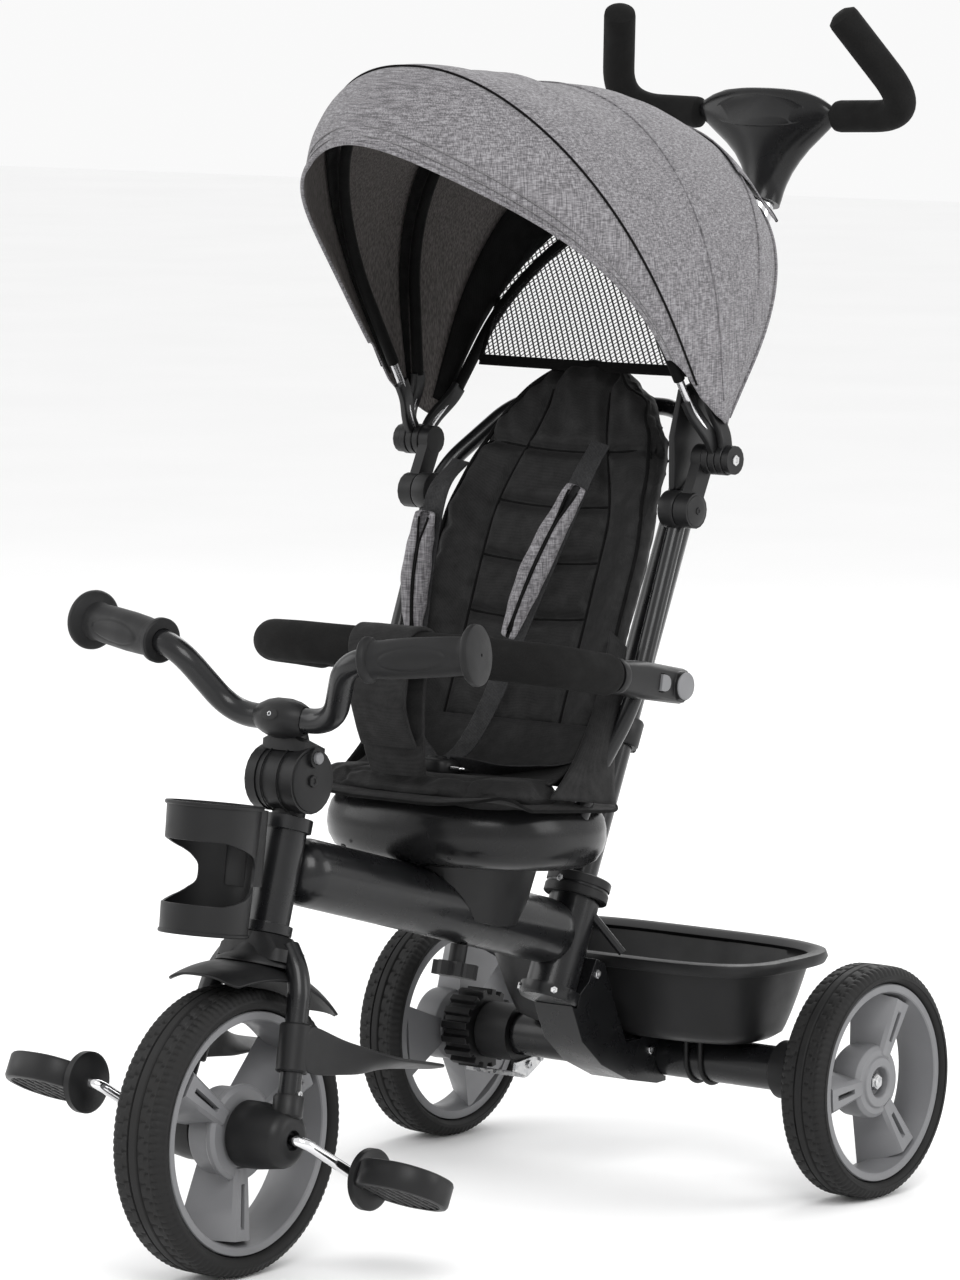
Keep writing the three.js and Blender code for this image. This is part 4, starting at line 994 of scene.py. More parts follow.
def main_frame():
    for node in ("head_tube", "rear_axle_tube", "rear_column", "axle_gusset", "push_tube"):
        polished(node, PAINT, 0.6)
    for node in ("drum_core", "handlebar_clamp", "fork_crown", "seat_knob", "brake_housing", "brake_drum"):
        polished(node, PLASTIC, 0.8)
    for node in ("canopy_arm_left", "canopy_arm_right"):
        polished(node, PLASTIC, 1.2)
    polished("saddle_mount", PLASTIC, 3.5)
    polished("brake_lever", STEEL, 0.4)
    polished("push_tube_inner", CHROME, 0.3)
    start, stop = TRIKE.at(0, -248, 338), TRIKE.at(0, 93, 243.5)
    along = (stop - start).normalized()
    length = (stop - start).length / MM + 24
    nose = [(0, -20), (12, -19), (22, -14), (28, -6), (30, 4)]
    tail = [(30, length - 20), (28, length - 8), (22, length - 1), (0, length)]
    turned("main_tube_skin", nose + tail, start, along, PAINT, "frame", "main_tube", segments=96)
    shaft = tube("axle_shaft", [AXLE.at(-259, 0, 0), AXLE.at(259, 0, 0)], 5, STEEL, 24)
    fix(shaft, "frame", "rear_axle_shaft")
    for k, z in enumerate((91, 102)):
        ring = [(29, -4.5), (30, -3.5), (30, 3.5), (29, 4.5), (24, 4.6), (24, -4.6), (29, -4.5)]
        turned(f"column_collar_{k}", ring, COLUMN.at(0, 0, z), COLUMN.way(0, 0, 1), PLASTIC, "frame")
    for k, (x, z) in enumerate(((-1, -6), (1, -6), (0, 97))):
        hardware(
            f"column_bolt_{k}", COLUMN, 28 * x * 0.7, -20 if x else -29, z, (x * 0.7, -0.7 if x else -1, 0),
            3.4, STEEL, "frame", 1.6,
        )
    for k, x in enumerate((-22.5, 22.5)):
        for n, (y, z) in enumerate(((-112, 90), (-30, 8))):
            hardware(f"gusset_bolt_{k}_{n}", AXLE, x, y, z, (x, 0, 0), 4.2, STEEL, "frame", 2)
    block = [(6, 0), (25, 0), (27, 1.5), (27, 30), (25.5, 34), (6, 34), (6, 0)]
    spot = AXLE.at(152, 0, 0)
    turned("axle_block_left", block, spot, Vector((1, 0, 0)), PLASTIC, "frame", segments=56)
    for sign, side, _ in SIDES:
        hardware("axle_nut_" + side, AXLE, sign * 253, 0, 0, (sign, 0, 0), 8, STEEL, "frame", 5)


def brake():
    for k, (y, z, radius) in enumerate(((6, -30, 4), (24, -27, 2.6))):
        hardware(f"brake_rivet_{k}", AXLE, -145.5, y, z, (1, 0, 0), radius, STEEL, "brake_pedal", 1.4, False)


def basket():
    """Rear basket: a thin tapered tub with a rolled rim, clamped to the axle tube."""
    rings = []
    for z in (0, 2, 6, 12, 24, 40, 56, 68, 74):
        flare = (z / 76) ** 0.75
        base = 6 * min(z / 6, 1) - 6
        outline = oval(132 + 26 * flare + base, 52 + 29 * flare + base, 128, 3.5)
        rings.append([BASKET.at(x, y, z) for x, y in outline])
    for grow, z in ((158, 76.5), (162, 79.2), (166, 80), (169, 79), (170, 76), (168.6, 73), (166.4, 73)):
        rings.append([BASKET.at(x, y, z) for x, y in oval(grow, grow - 80, 128, 3.6)])
    points = [p for r in rings for p in r]
    faces = ring_faces(len(rings), 128) + [tuple(range(128))]
    tub = make_mesh("basket_tub", points, faces, PLASTIC, sharp=50)
    solidify(tub, 2.6, offset=1 if tub.data.polygons[0].normal.z > 0 else -1)
    bevel(fix(tub, "frame", "basket"), 0.6, angle=60)
    for sign, side, _ in SIDES:
        for k, x in enumerate((58, 74)):
            turns = [math.pi * i / 24 for i in range(25)]
            loop = [(21.6, 21)] + [(21.6 * math.cos(a), -21.6 * math.sin(a)) for a in turns] + [(-21.6, 21)]
            path = [AXLE.at(sign * x, y, z) for y, z in loop]
            fix(tube(f"basket_clamp_{k}_{side}", path, 2.4, PLASTIC, 12), "frame")


# ---------- soft goods ----------
def copied(node, name, look):
    """A new piece with the node's own shape, to be worked into padding."""
    source = frame["nodes"][node]
    mesh = source.data.copy()
    mesh.materials.clear()
    mesh.materials.append(look)
    piece = bpy.data.objects.new(name, mesh)
    bpy.context.scene.collection.objects.link(piece)
    return piece


def bake(piece):
    """Applies every modifier on the piece."""
    deps = bpy.context.evaluated_depsgraph_get()
    deps.update()
    mesh = bpy.data.meshes.new_from_object(piece.evaluated_get(deps))
    piece.modifiers.clear()
    piece.data = mesh


def move_along_normals(piece, amount):
    """amount(vertex) gives millimetres outwards."""
    mesh = piece.data
    moves = [v.normal * (amount(v) * MM) for v in mesh.vertices]
    for v, move in zip(mesh.vertices, moves):
        v.co += move
    mesh.update()


def inflate(node, name, look, shrink, cap):
    """Padding from the node's shape: remeshed, drawn in, blown up by cloth pressure and smoothed."""
    piece = copied(node, name, look)
    remesh = piece.modifiers.new("remesh", "REMESH")
    remesh.mode = "VOXEL"
    remesh.voxel_size = 5 * MM
    remesh.use_smooth_shade = True
    bake(piece)
    move_along_normals(piece, lambda v: -shrink)
    before = [v.co.copy() for v in piece.data.vertices]
    cloth = piece.modifiers.new("cloth", "CLOTH")
    cloth.settings.use_pressure = True
    cloth.settings.uniform_pressure_force = 4
    cloth.settings.quality = 5
    cloth.settings.effector_weights.gravity = 0
    cloth.point_cache.frame_start = 1
    cloth.point_cache.frame_end = 20
    for step in range(1, 21):
        bpy.context.scene.frame_set(step)
    bake(piece)
    for v, old in zip(piece.data.vertices, before):
        move = v.co - old
        if move.length > cap * MM:
            v.co = old + move.normalized() * cap * MM
    bpy.context.scene.frame_set(1)
    fine = piece.modifiers.new("fine", "SUBSURF")
    fine.levels = fine.render_levels = 1
    bake(piece)
    piece.data.polygons.foreach_set("use_smooth", [True] * len(piece.data.polygons))
    return piece


def line(distance, width):
    """A sewn channel's depth, from 1 on its line to 0 away from it."""
    return math.exp(-((distance / width) ** 2))


def on_front(pad, x, z, away=80):
    """The spot on the back cushion's front at x and z, looked for from a distance away."""
    start, way = BACK.at(x, -away, z), BACK.way(0, 1, 0)
    hit, spot, _, _ = pad.ray_cast(start, way)
    return spot if hit else pad.closest_point_on_mesh(start + way * 60 * MM)[1]


def back_seam(z):
    """Half distance between the two upright seams of the back cushion."""
    return 66 - 34 * smoothstep(215, 352, z)


def backrest():
    pad = inflate("backrest_pad", "back_cushion", OXFORD, 4.5, 11)
    forward = BACK.way(0, -1, 0) * MM
    for v in pad.data.vertices:
        p = BACK.inside(v.co)
        height = smoothstep(-20, 40, p.z) * (1 - smoothstep(220, 320, p.z))
        v.co += forward * (20 * smoothstep(66, 128, abs(p.x)) * height)
        v.co += BACK.way(0, 0, 1) * (14 * smoothstep(220, 372, p.z) * MM)
    pad.data.update()
    channels = (26, 79, 132, 185, 238, 291)

    def shape(v):
        p = BACK.inside(v.co)
        facing = v.normal.dot(BACK.way(0, -1, 0))
        if facing < 0.1:
            return 0.0
        seam = back_seam(p.z)
        depth = 5.0 * line(abs(p.x) - seam, 4.5) * smoothstep(-10, 20, p.z)
        inside = 1 - smoothstep(seam - 4, seam + 1, abs(p.x))
        for k, z in enumerate(channels):
            reach = 1.0 if k == 5 else inside
            depth = max(depth, 6.5 * reach * line(p.z - z - 0.0009 * p.x**2, 6))
        ruffle = noise.noise(Vector((p.x * 0.035, 3.0, p.z * 0.012)))
        head = smoothstep(292, 320, p.z)
        fold = noise.noise(Vector((p.x * 0.06 + p.z * 0.02, 7.0, p.z * 0.014)))
        return (-depth + 1.8 * ruffle + 4.5 * head * fold) * smoothstep(0.1, 0.5, facing)

    move_along_normals(pad, shape)
    fix(pad, "frame", "backrest_pad")
    path = []
    inset = 12
    for i in range(181):
        x, z = back_outline(i / 180)
        x, z = x * (1 - inset / BACK_HALF), 180 + (z - 180) * (1 - inset / 190)
        path.append(on_front(pad, x, z) - BACK.way(0, 1, 0) * 0.6 * MM)
    fix(tube("back_piping", smooth_path(path, 6), 2.0, BINDING_AND_SEAM_SHADE, 10), "frame")
    # Dark lines along the two upright seams: painted shade in the sewn grooves
    for sign, side, _ in SIDES:
        heights = [4 + 345 * i / 60 for i in range(61)]
        path = [on_front(pad, sign * back_seam(z), z, 60) for z in heights]
        fix(tube("back_seam_" + side, smooth_path(path, 4), 1.2, BINDING_AND_SEAM_SHADE, 8), "frame")
    # Dark lines in the sewn channels: painted shade in the grooves
    for k, z in enumerate(channels):
        half = 112 if k == 5 else back_seam(z)
        places = [half * (-1 + i / 20) for i in range(41)]
        path = [on_front(pad, x, z + 0.0009 * x**2) for x in places]
        fix(tube(f"back_channel_shade_{k}", smooth_path(path, 3), 1.0, BINDING_AND_SEAM_SHADE, 8), "frame")


def smooth_path(path, rounds):
    for _ in range(rounds):
        inner = [(a + b + c) / 3 for a, b, c in zip(path, path[1:], path[2:])]
        path = [path[0]] + inner + [path[-1]]
    return path


def back_outline(t):
    """The back cushion's edge from its right foot over the top to its left foot, t from 0 to 1."""
    curves = (
        ((-120, -20), (-130, 60), (-130, 130), (-130, 190)),
        ((-130, 190), (-130, 310), (-84, 392), (0, 392)), ((0, 392), (84, 392), (130, 310), (130, 190)),
        ((130, 190), (130, 130), (130, 60), (120, -20)),
    )
    k = min(int(t * 4), 3)
    s = t * 4 - k
    weights = ((1 - s) ** 3, 3 * s * (1 - s) ** 2, 3 * s * s * (1 - s), s**3)
    x = sum(w * p[0] for w, p in zip(weights, curves[k]))
    z = sum(w * p[1] for w, p in zip(weights, curves[k]))
    return x, z


def seat_cushion():
    pad = inflate("seat_pad", "seat_cushion", OXFORD, 3, 8)

    def shape(v):
        p = SEAT.inside(v.co)
        facing = v.normal.dot(SEAT.way(0, 0, 1))
        if facing < 0.2:
            return 0.0
        depth = max(line(p.y - y, 4.5) for y in (-84, -43, -2)) * (1 - smoothstep(62, 70, abs(p.x)))
        depth = max(depth, line(abs(p.x) - 68, 3.6))
        ruffle = noise.noise(Vector((p.x * 0.03, p.y * 0.03, 5.0)))
        return -3.2 * depth + 1.6 * ruffle

    move_along_normals(pad, shape)
    fix(pad, "frame", "seat_pad")

    def flap_point(x, y, z):
        """The seat cover's loose edge, dropping over the pan's rim and lifting at its front corners."""
        front = smoothstep(50, 92, -y)
        corner = (abs(x) / SEAT_HALF) ** 3
        over = smoothstep(0.86, 1.0, max(abs(x) / SEAT_HALF, abs(y) / SEAT_DEPTH))
        wave = 1.3 * noise.noise(Vector((x * 0.03, y * 0.03, 2.0)))
        return SEAT.at(x, y - 18 - 3 * front, z + wave + 9 * front * corner - 5 * over * (1 - front * corner))

    rings = []
    for shrink, z in ((0.8, 31), (0.93, 31), (1, 31.4), (1.008, 32.6), (1.0, 34), (0.93, 34.4), (0.8, 34.4)):
        rings.append([flap_point(x, y, z) for x, y in oval(SEAT_HALF * shrink, SEAT_DEPTH * shrink, 160, 7)])
    flap = loft("seat_flap", rings, TWILL, sharp=80)
    fix(flap, "frame")
    edge = [flap_point(x * 1.008, y * 1.008, 32.8) for x, y in oval(SEAT_HALF, SEAT_DEPTH, 160, 7)]
    fix(tube("seat_flap_piping", edge + [edge[0]], 1.5, BINDING_AND_SEAM_SHADE, 8), "frame")


def drape():
    """Cloth filling the corner where the back cushion meets the seat cushion."""

    def point(s, t):
        x = -112 + 224 * s
        corner = SEAT.at(x, 2, 54) + Vector((0, 0, 3 * noise.noise(Vector((x * 0.04, 1.0, 4.0))))) * MM
        return curve(t, (BACK.at(x, -16, 34), corner, SEAT.at(x, -28, 50)))

    cloth = solidify(sheet_mesh("seat_drape", grid(40, 16, point), OXFORD), 2.4)
    fix(cloth, "frame")
    for sign, side, _ in SIDES:
        front = [BACK.at(sign * 118, -30, 120), SEAT.at(sign * 116, 26, 84), SEAT.at(sign * 122, -40, 38)]
        rear = [BACK.at(sign * 128, -14, 110), BACK.at(sign * 130, -6, 20), SEAT.at(sign * 127, 52, 33)]

        def wing_point(t, s):
            bulge = Vector((sign * 5 * math.sin(math.pi * t) * MM, 0, 0))
            return curve(t, front).lerp(curve(t, rear), s) + bulge * math.sin(math.pi * s)

        wing = solidify(sheet_mesh("seat_wing_" + side, grid(24, 12, wing_point), OXFORD), 2.4)
        move_along_normals(wing, lambda v: 1.6 * noise.noise(v.co * 28))
        fix(wing, "frame")


def seat_pan():
    profile = [
        (48, 42, -29.5), (34, 30, -29), (19, 17, -26), (8, 7, -19.5), (2.2, 2, -10), (0, 0, 0),
        (0.6, 0.6, 10), (3, 2.8, 19), (7, 6.5, 25.5), (12, 11, 29.2), (18, 17, 30), (26, 24, 28.6),
        (48, 44, 27),
    ]
    rings = []
    for dx, dy, z in profile:
        ring = [SEAT.at(x, y + 2, z) for x, y in oval(SEAT_HALF - 4 - dx, 109 - dy, 128, 2.45)]
        rings.append(ring)
    pan = loft("seat_pan", rings, GLOSSY, sharp=60)
    fix(pan, "frame", "seat_shell")
    drain = [(0, 0), (2.2, 0), (2.6, -1), (0, -1)]
    for k, x in enumerate((-60, 60)):
        spot, down = SEAT.at(x, -98, -19), SEAT.way(0, -0.8, -1)
        turned(f"seat_drain_{k}", drain, spot, down, PLASTIC, "frame", segments=20)


def strap(name, path, half, thick, look, lean=(1, 0, 0)):
    """A flat strap carried along a path; lean is roughly the way across it."""
    side = Vector(lean)
    rings = []
    for k, point in enumerate(path):
        along = (path[min(k + 1, len(path) - 1)] - path[max(k - 1, 0)]).normalized()
        across = (side - along * side.dot(along)).normalized()
        up = along.cross(across)
        wide = half(k / (len(path) - 1)) if callable(half) else half
        rings.append([point + (across * a + up * b) * MM for a, b in oval(wide, thick / 2, 28, 6)])
    return loft(name, rings, look, sharp=70)


def curve_through(points, steps=12):
    """A smooth path through a few points."""
    ends = [points[0] * 2 - points[1]] + points + [points[-1] * 2 - points[-2]]
    path = []
    for a, b, c, d in zip(ends, ends[1:], ends[2:], ends[3:]):
        for k in range(steps):
            t = k / steps
            square, cube = a * 2 - b * 5 + c * 4 - d, b * 3 - a - c * 3 + d
            path.append(0.5 * ((b * 2) + (c - a) * t + square * t * t + cube * t**3))
    path.append(points[-1])
    return path


def crotch_strap():
    bar = BUMPER.at(0, -211, 0)

    def near_bar(angle, out=20.5):
        turn = math.radians(angle)
        return bar + Vector((0, -math.cos(turn), math.sin(turn))) * out * MM

    loop = [TRIKE.at(0, -113, 409), TRIKE.at(0, -119, 432), TRIKE.at(0, -121, 462), near_bar(-105, 21.5)]
    loop += [near_bar(a) for a in (-150, 165, 120, 80, 40, 0)]
    loop += [near_bar(-42, 21.5), TRIKE.at(0, -143, 478), TRIKE.at(0, -136, 455), TRIKE.at(0, -126, 436)]
    path = curve_through(loop, 8)

    def half(t):
        return 31 + 6 * math.sin(math.pi * min(t * 1.4, 1)) + 1.0 * math.sin(19 * t)

    band = strap("crotch_band", path, half, 4.2, OXFORD)
    move_along_normals(band, lambda v: 1.4 * noise.noise(v.co * 34))
    fix(band, "frame", "crotch_strap")


def folded_pad(name, top, low, body):
    """A shoulder pad: a strip of padding folded lengthwise round its strap."""
    along = (low - top).normalized()
    face = Vector((0.45, -0.9, 0.1)).normalized()
    across = along.cross(face).normalized()
    face = across.cross(along).normalized()
    length = (low - top).length
    fold = [(-0.9, 11), (-7, 11.5), (-13, 8), (-16, 1), (-14, -6), (-7, -9), (0, -9.6), (7, -9), (13, -6)]
    fold += [(14.5, 0), (12, 7), (7, 9.6), (0.9, 9)]
    inner = [(a * 0.72 if abs(a) > 4 else a * 0.5, b * 0.62 + 1.5) for a, b in reversed(fold)]
    inner[0] = (0.4, 7)
    inner[-1] = (-0.4, 8)
    section = fold + inner
    rings = []
    steps = 44
    for k in range(steps + 1):
        t = k / steps
        wide = 0.3 + 0.64 * math.sin(math.pi * (0.06 + 0.88 * t)) ** 0.8
        deep = 0.5 + 0.5 * math.sin(math.pi * t) ** 0.5
        gap = 4 * (1 - smoothstep(0, 0.3, t)) + 1.5 * smoothstep(0.85, 1, t)
        sway = 4 * math.sin(math.pi * t) * MM
        middle = top + along * length * t + across * sway
        ring = []
        for a, b in section:
            crease = 1 + 0.07 * math.sin(23 * t + a)
            spread = math.copysign(gap, a) if b > 6 else 0.0
            ring.append(middle + (across * (a * wide * crease + 3 + spread) + face * b * deep) * MM)
        rings.append(ring)
    pad = loft(name, rings, MELANGE, sharp=80)
    fine = pad.modifiers.new("fine", "SUBSURF")
    fine.levels = fine.render_levels = 2
    bake(pad)
    move_along_normals(pad, lambda v: 0.8 * noise.noise(v.co * 60))
    fix(pad, body, name.replace("soft_", ""))
    for k, corner in enumerate((0, len(fold) - 1)):
        path = [ring[corner] for ring in rings[2 : steps - 1]]
        fix(tube(f"{name}_binding_{k}", path, 1.1, BINDING_AND_SEAM_SHADE, 8), body)


def harness():
    folded_pad("soft_shoulder_pad_left", TRIKE.at(-92, 48, 624), TRIKE.at(-101, 40, 510), "frame")
    folded_pad("soft_shoulder_pad_right", TRIKE.at(54, 82, 652), TRIKE.at(16, 28, 516), "frame")
    runs = {
        "shoulder_web_left": [(-84, 84, 668), (-91, 58, 640), (-97, 46, 575), (-101, 39, 512),
        (-96, 20, 470), (-58, -22, 430), (-14, -54, 412)], "shoulder_web_right": [(60, 104, 690),
        (53, 84, 658), (36, 58, 590), (21, 26, 516), (20, -2, 470), (16, -34, 430), (6, -54, 412)],
        "lap_web_left": [(112, 2, 418), (84, -16, 411), (48, -38, 408), (12, -54, 411)],
        "lap_web_right": [(-112, 2, 418), (-84, -16, 411), (-50, -38, 408), (-14, -54, 411)],
    }
    for name, points in runs.items():
        path = curve_through([TRIKE.at(*p) for p in points])
        fix(strap(name, path, 11, 1.8, WEBBING, (1, 0.2, 0.25)), "frame")
    middle = Place(0, -54, 404, 9)
    levels = ((0.84, 0), (0.97, 1), (1, 3.5), (1, 9), (0.95, 12), (0.82, 13.5))
    rings = stacked(middle, oval(21, 17, 48, 3.4), levels)
    fix(loft("buckle", rings, PLASTIC, sharp=50), "frame")
    press = stacked(middle, oval(9, 7, 32, 2.6), ((1, 13), (0.96, 15), (0.8, 15.6)))
    fix(loft("buckle_button", press, SOFT_PLASTIC, sharp=50), "frame")
    for sign, side, _ in SIDES:
        link = [middle.at(sign * x, y, 6) for x, y in ((22, -7), (33, -6), (33, 6), (22, 7))]
        fix(tube("buckle_link_" + side, bent_path(link, 4), 1.5, CHROME, 10), "frame")


# ---------- backrest frame and bumper bar ----------
def backrest_frame():
    half = [(96, 36, 350), (141, -2, 262), (141, -2, 62), (115, -2, -14), (111, -2, -64)]
    path = bent_path([BACK.at(*p) for p in both_sides(half)], 34, 14)
    fix(tube("back_hoop", path, 8, PAINT), "frame", "backrest_frame")
    for sign, side, _ in SIDES:
        knuckle = [
            (0, 0), (15, 0), (16.8, 1.2), (17, 3), (17, 14), (15.8, 16.2), (11, 17), (11, 16.2), (0, 16.2),
        ]
        out = Vector((sign, 0, 0))
        turned("knuckle_" + side, knuckle, BACK.at(sign * 132, -9, 242), out, PLASTIC, "frame")
        cap = [(0, 1.4), (9.5, 1.2), (13.6, 0), (14.6, -1.5), (0, -1.5)]
        spot = CANOPY.at(sign * KNUCKLE[0], *KNUCKLE[1:])
        turned("knuckle_cap_" + side, cap, spot, out, PLASTIC, "canopy_arms")
        hardware(
            "knuckle_screw_" + side, CANOPY, sign * 165.8, *KNUCKLE[1:], (sign, 0, 0), 3.4, SOFT_PLASTIC,
            "canopy_arms", 1,
        )
        hardware("elbow_screw_" + side, CANOPY, sign * 190, 0, 0, (sign, 0, 0), 5, STEEL, "canopy_arms", 1.4)
    outline = [(-29, -48), (7, -48), (25, -10), (29, 44), (17, 50), (-15, 42), (-29, 0)]
    rows = []
    for x, s in ((133, 0.94), (134, 1), (139, 1), (140, 0.94)):
        rows.append([Vector((x, 141 + y * s, 700 + z * s)) * MM for y, z in outline])
    plate = loft("back_plate_left", rows, PLASTIC, sharp=40)
    bevel(fix(plate, "frame"), 1.2)


def bumper():
    def run(back):
        half = [(98, -211, 0), (BUMPER_HALF, -194, 0), (BUMPER_HALF, back, 0)]
        return bent_path([BUMPER.at(*p) for p in both_sides(half)], 31, 12)

    path = run(-44)
    fix(tube("bumper_tube", path, 8, PAINT), "bumper", "bumper_bar")
    path = refine(run(-100), 4)
    sleeve = foam_tube("bumper_sleeve", path, 18.6, FOAM, 8, 40)
    move_along_normals(sleeve, lambda v: 0.5 * noise.noise(v.co * 22))
    fix(sleeve, "bumper", "bumper_foam")
    for sign, side, _ in SIDES:
        polished("bar_bracket_" + side, PLASTIC, 1.0)
        polished("bar_release_" + side, GREY, 0.6)
        disc = [(0, 1.5), (10.6, 1.5), (12, 0.8), (12.4, -0.4), (0, -0.4)]
        spot = BUMPER.at(sign * 177, -10, 0)
        turned("bracket_disc_" + side, disc, spot, Vector((sign, 0, 0)), GREY, "frame", segments=56)
        cuff = [(8.5, 0), (15.5, 0), (16.2, 1.5), (16.2, 7), (15.4, 8.5), (8.5, 8.5), (8.5, 0)]
        spot = BUMPER.at(sign * BUMPER_HALF, -98, 0)
        turned("bumper_cuff_" + side, cuff, spot, BUMPER.way(0, 1, 0), PLASTIC, "bumper", segments=48)


# ---------- canopy ----------
STATIONS = (
    # angle, flare, half width, top, shoulder, low, power
    (47, -9, 169, 421, 128, 118, 1.1),
    (40, -5, 174, 424, 124, 100, 0.97),
    (32.5, -1, 178, 419, 120, 66, 0.91),
    (20, 0, 180, 376, 115, 44, 0.92),
    (6, 0, 181, 338, 110, 34, 0.93),
    (-10, 0, 176, 328, 105, 30, 0.92),
    (-24, 0, 171, 319, 102, 27, 0.9),
    (-38, 0, 163, 303, 100, 25, 0.92),
)
SAGS = ((25, 5.5, 11), (13, 7.0, 9), (-16, 13.0, 5))  # angle, spread and depth of each panel's dip


def station(angle):
    """The hood's shape values at an angle about the elbows."""
    for k in range(len(STATIONS) - 1):
        if angle >= STATIONS[k + 1][0]:
            break
    rows = [STATIONS[min(max(k + d, 0), len(STATIONS) - 1)] for d in (-1, 0, 1, 2)]
    low, high = rows[2][0], rows[1][0]
    t = min(max((high - angle) / (high - low), 0), 1)
    a, b, c, d = rows
    values = []
    for i in range(1, 7):
        ease_b, ease_c = (c[i] - a[i]) / 2 * (t**3 - 2 * t**2 + t), (d[i] - b[i]) / 2 * (t**3 - t**2)
        values.append(b[i] * (2 * t**3 - 3 * t**2 + 1) + ease_b + c[i] * (3 * t**2 - 2 * t**3) + ease_c)
    return values


def hood_point(angle, t, inset=0.0):
    """A point of the hood's skin: angle about the elbows, t from -1 at the right hem to 1 at the left."""
    flare, width, top, shoulder, low, power = station(angle)
    leg = 0.12
    if abs(t) > 1 - leg:
        side = math.copysign(1, t)
        part = (abs(t) - (1 - leg)) / leg
        across, radius = side, shoulder + (low - shoulder) * part
    else:
        turn = math.radians(90 * t / (1 - leg))
        across = math.copysign(abs(math.sin(turn)) ** power, t)
        rise = abs(math.cos(turn)) ** power
        dip = sum(depth * math.exp(-(((angle - at) / spread) ** 2)) for at, spread, depth in SAGS)
        radius = shoulder + (top - dip - shoulder) * rise
    tilt = math.radians(angle + flare * abs(across) ** 4)
    scale = (radius - inset) / radius
    x = across * (width - inset)
    return CANOPY.at(x, -radius * scale * math.sin(tilt), radius * scale * math.cos(tilt))


def hood_line(angle, inset=0.0, steps=90, reach=1.0):
    return [hood_point(angle, reach * (-1 + 2 * i / steps), inset) for i in range(steps + 1)]


def canopy():
    rows = [hood_line(47 - 85 * i / 84, 0, 108) for i in range(85)]
    cover = sheet_mesh("hood", rows, MELANGE)
    cover.data.materials.append(LINING)
    cover.data.materials.append(BINDING_AND_SEAM_SHADE)

    def ruffle(v):
        p = CANOPY.inside(v.co)
        turn = math.degrees(math.atan2(-p.y, p.z))
        near = min(abs(turn - a) for a in (BOW_FRONT, BOW_MIDDLE, BOW_REAR))
        broad = noise.noise(Vector((p.x * 0.012, turn * 0.05, 1.0)))
        fine = noise.noise(Vector((p.x * 0.05, turn * 0.03, 9.0)))
        return (2.4 * broad + 1.0 * fine) * smoothstep(0, 9, near)

    move_along_normals(cover, ruffle)
    middle = cover.data.polygons[len(cover.data.polygons) // 2]
    outwards = middle.normal.dot(middle.center - CANOPY.at(0, 0, 0)) > 0
    solidify(cover, 1.8, offset=-1 if outwards else 1, inner=1, rim=0)
    trims = []
    for name, angle, radius, look, lift in (
        ("hood_piping_front", 33, 1.1, BINDING_AND_SEAM_SHADE, 0.8), ("hood_stitch_0", 45.8, 0.55, THREAD, 0.3),
        ("hood_stitch_1", 44.4, 0.55, THREAD, 0.3), ("hood_seam_middle", 6, 1.0, MELANGE, 0.5),
        ("hood_seam_rear", -24, 0.8, MELANGE, 0.5), ("hood_piping_rear", -37.6, 1.3, MELANGE, 0.8),
        ("hood_lip", 47, 1.7, MELANGE, 0.2),
    ):
        reach = 0.995 if angle > 40 else 0.97
        trims.append(tube(name, hood_line(angle, -lift, 120, reach), radius, look, 8))
    for name, low, high in (("front", 30.6, 34.4), ("middle", 3.6, 8.6), ("rear", -38, -24)):
        rows = [hood_line(low + (high - low) * i / 6, 4.6, 80, 0.97) for i in range(7)]
        trims.append(solidify(sheet_mesh("bow_sleeve_" + name, rows, BINDING_AND_SEAM_SHADE), 0.8))
    flap = grid(14, 60, lambda s, t: hood_point(-22 - 17.5 * s, 0.4 * (2 * t - 1), -2.2 - 4.5 * s**1.5))
    trims.append(solidify(sheet_mesh("vent_flap", flap, MELANGE), 1.4))
    trims.append(tube("vent_piping", flap[-1], 1.5, BINDING_AND_SEAM_SHADE, 8))
    for piece in [cover] + trims:
        place_cloth(piece)
    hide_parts("canopy_cover")
    back_window()


def bow_point(bow, turn):
    """A point of a bow: turn runs from -90 at the right foot to 90 at the left foot."""
    _, width, top, low, _, power = bow
    s, c = math.sin(math.radians(turn)), math.cos(math.radians(turn))
    x = (width - BOW_INSET) * math.copysign(abs(s) ** power, s)
    return bow_foot(bow, x, low + (top - BOW_INSET - low) * abs(c) ** power)


def bow_foot(bow, x, radius):
    tilt = math.radians(bow[0])
    return CANOPY.at(x, -radius * math.sin(tilt), radius * math.cos(tilt))


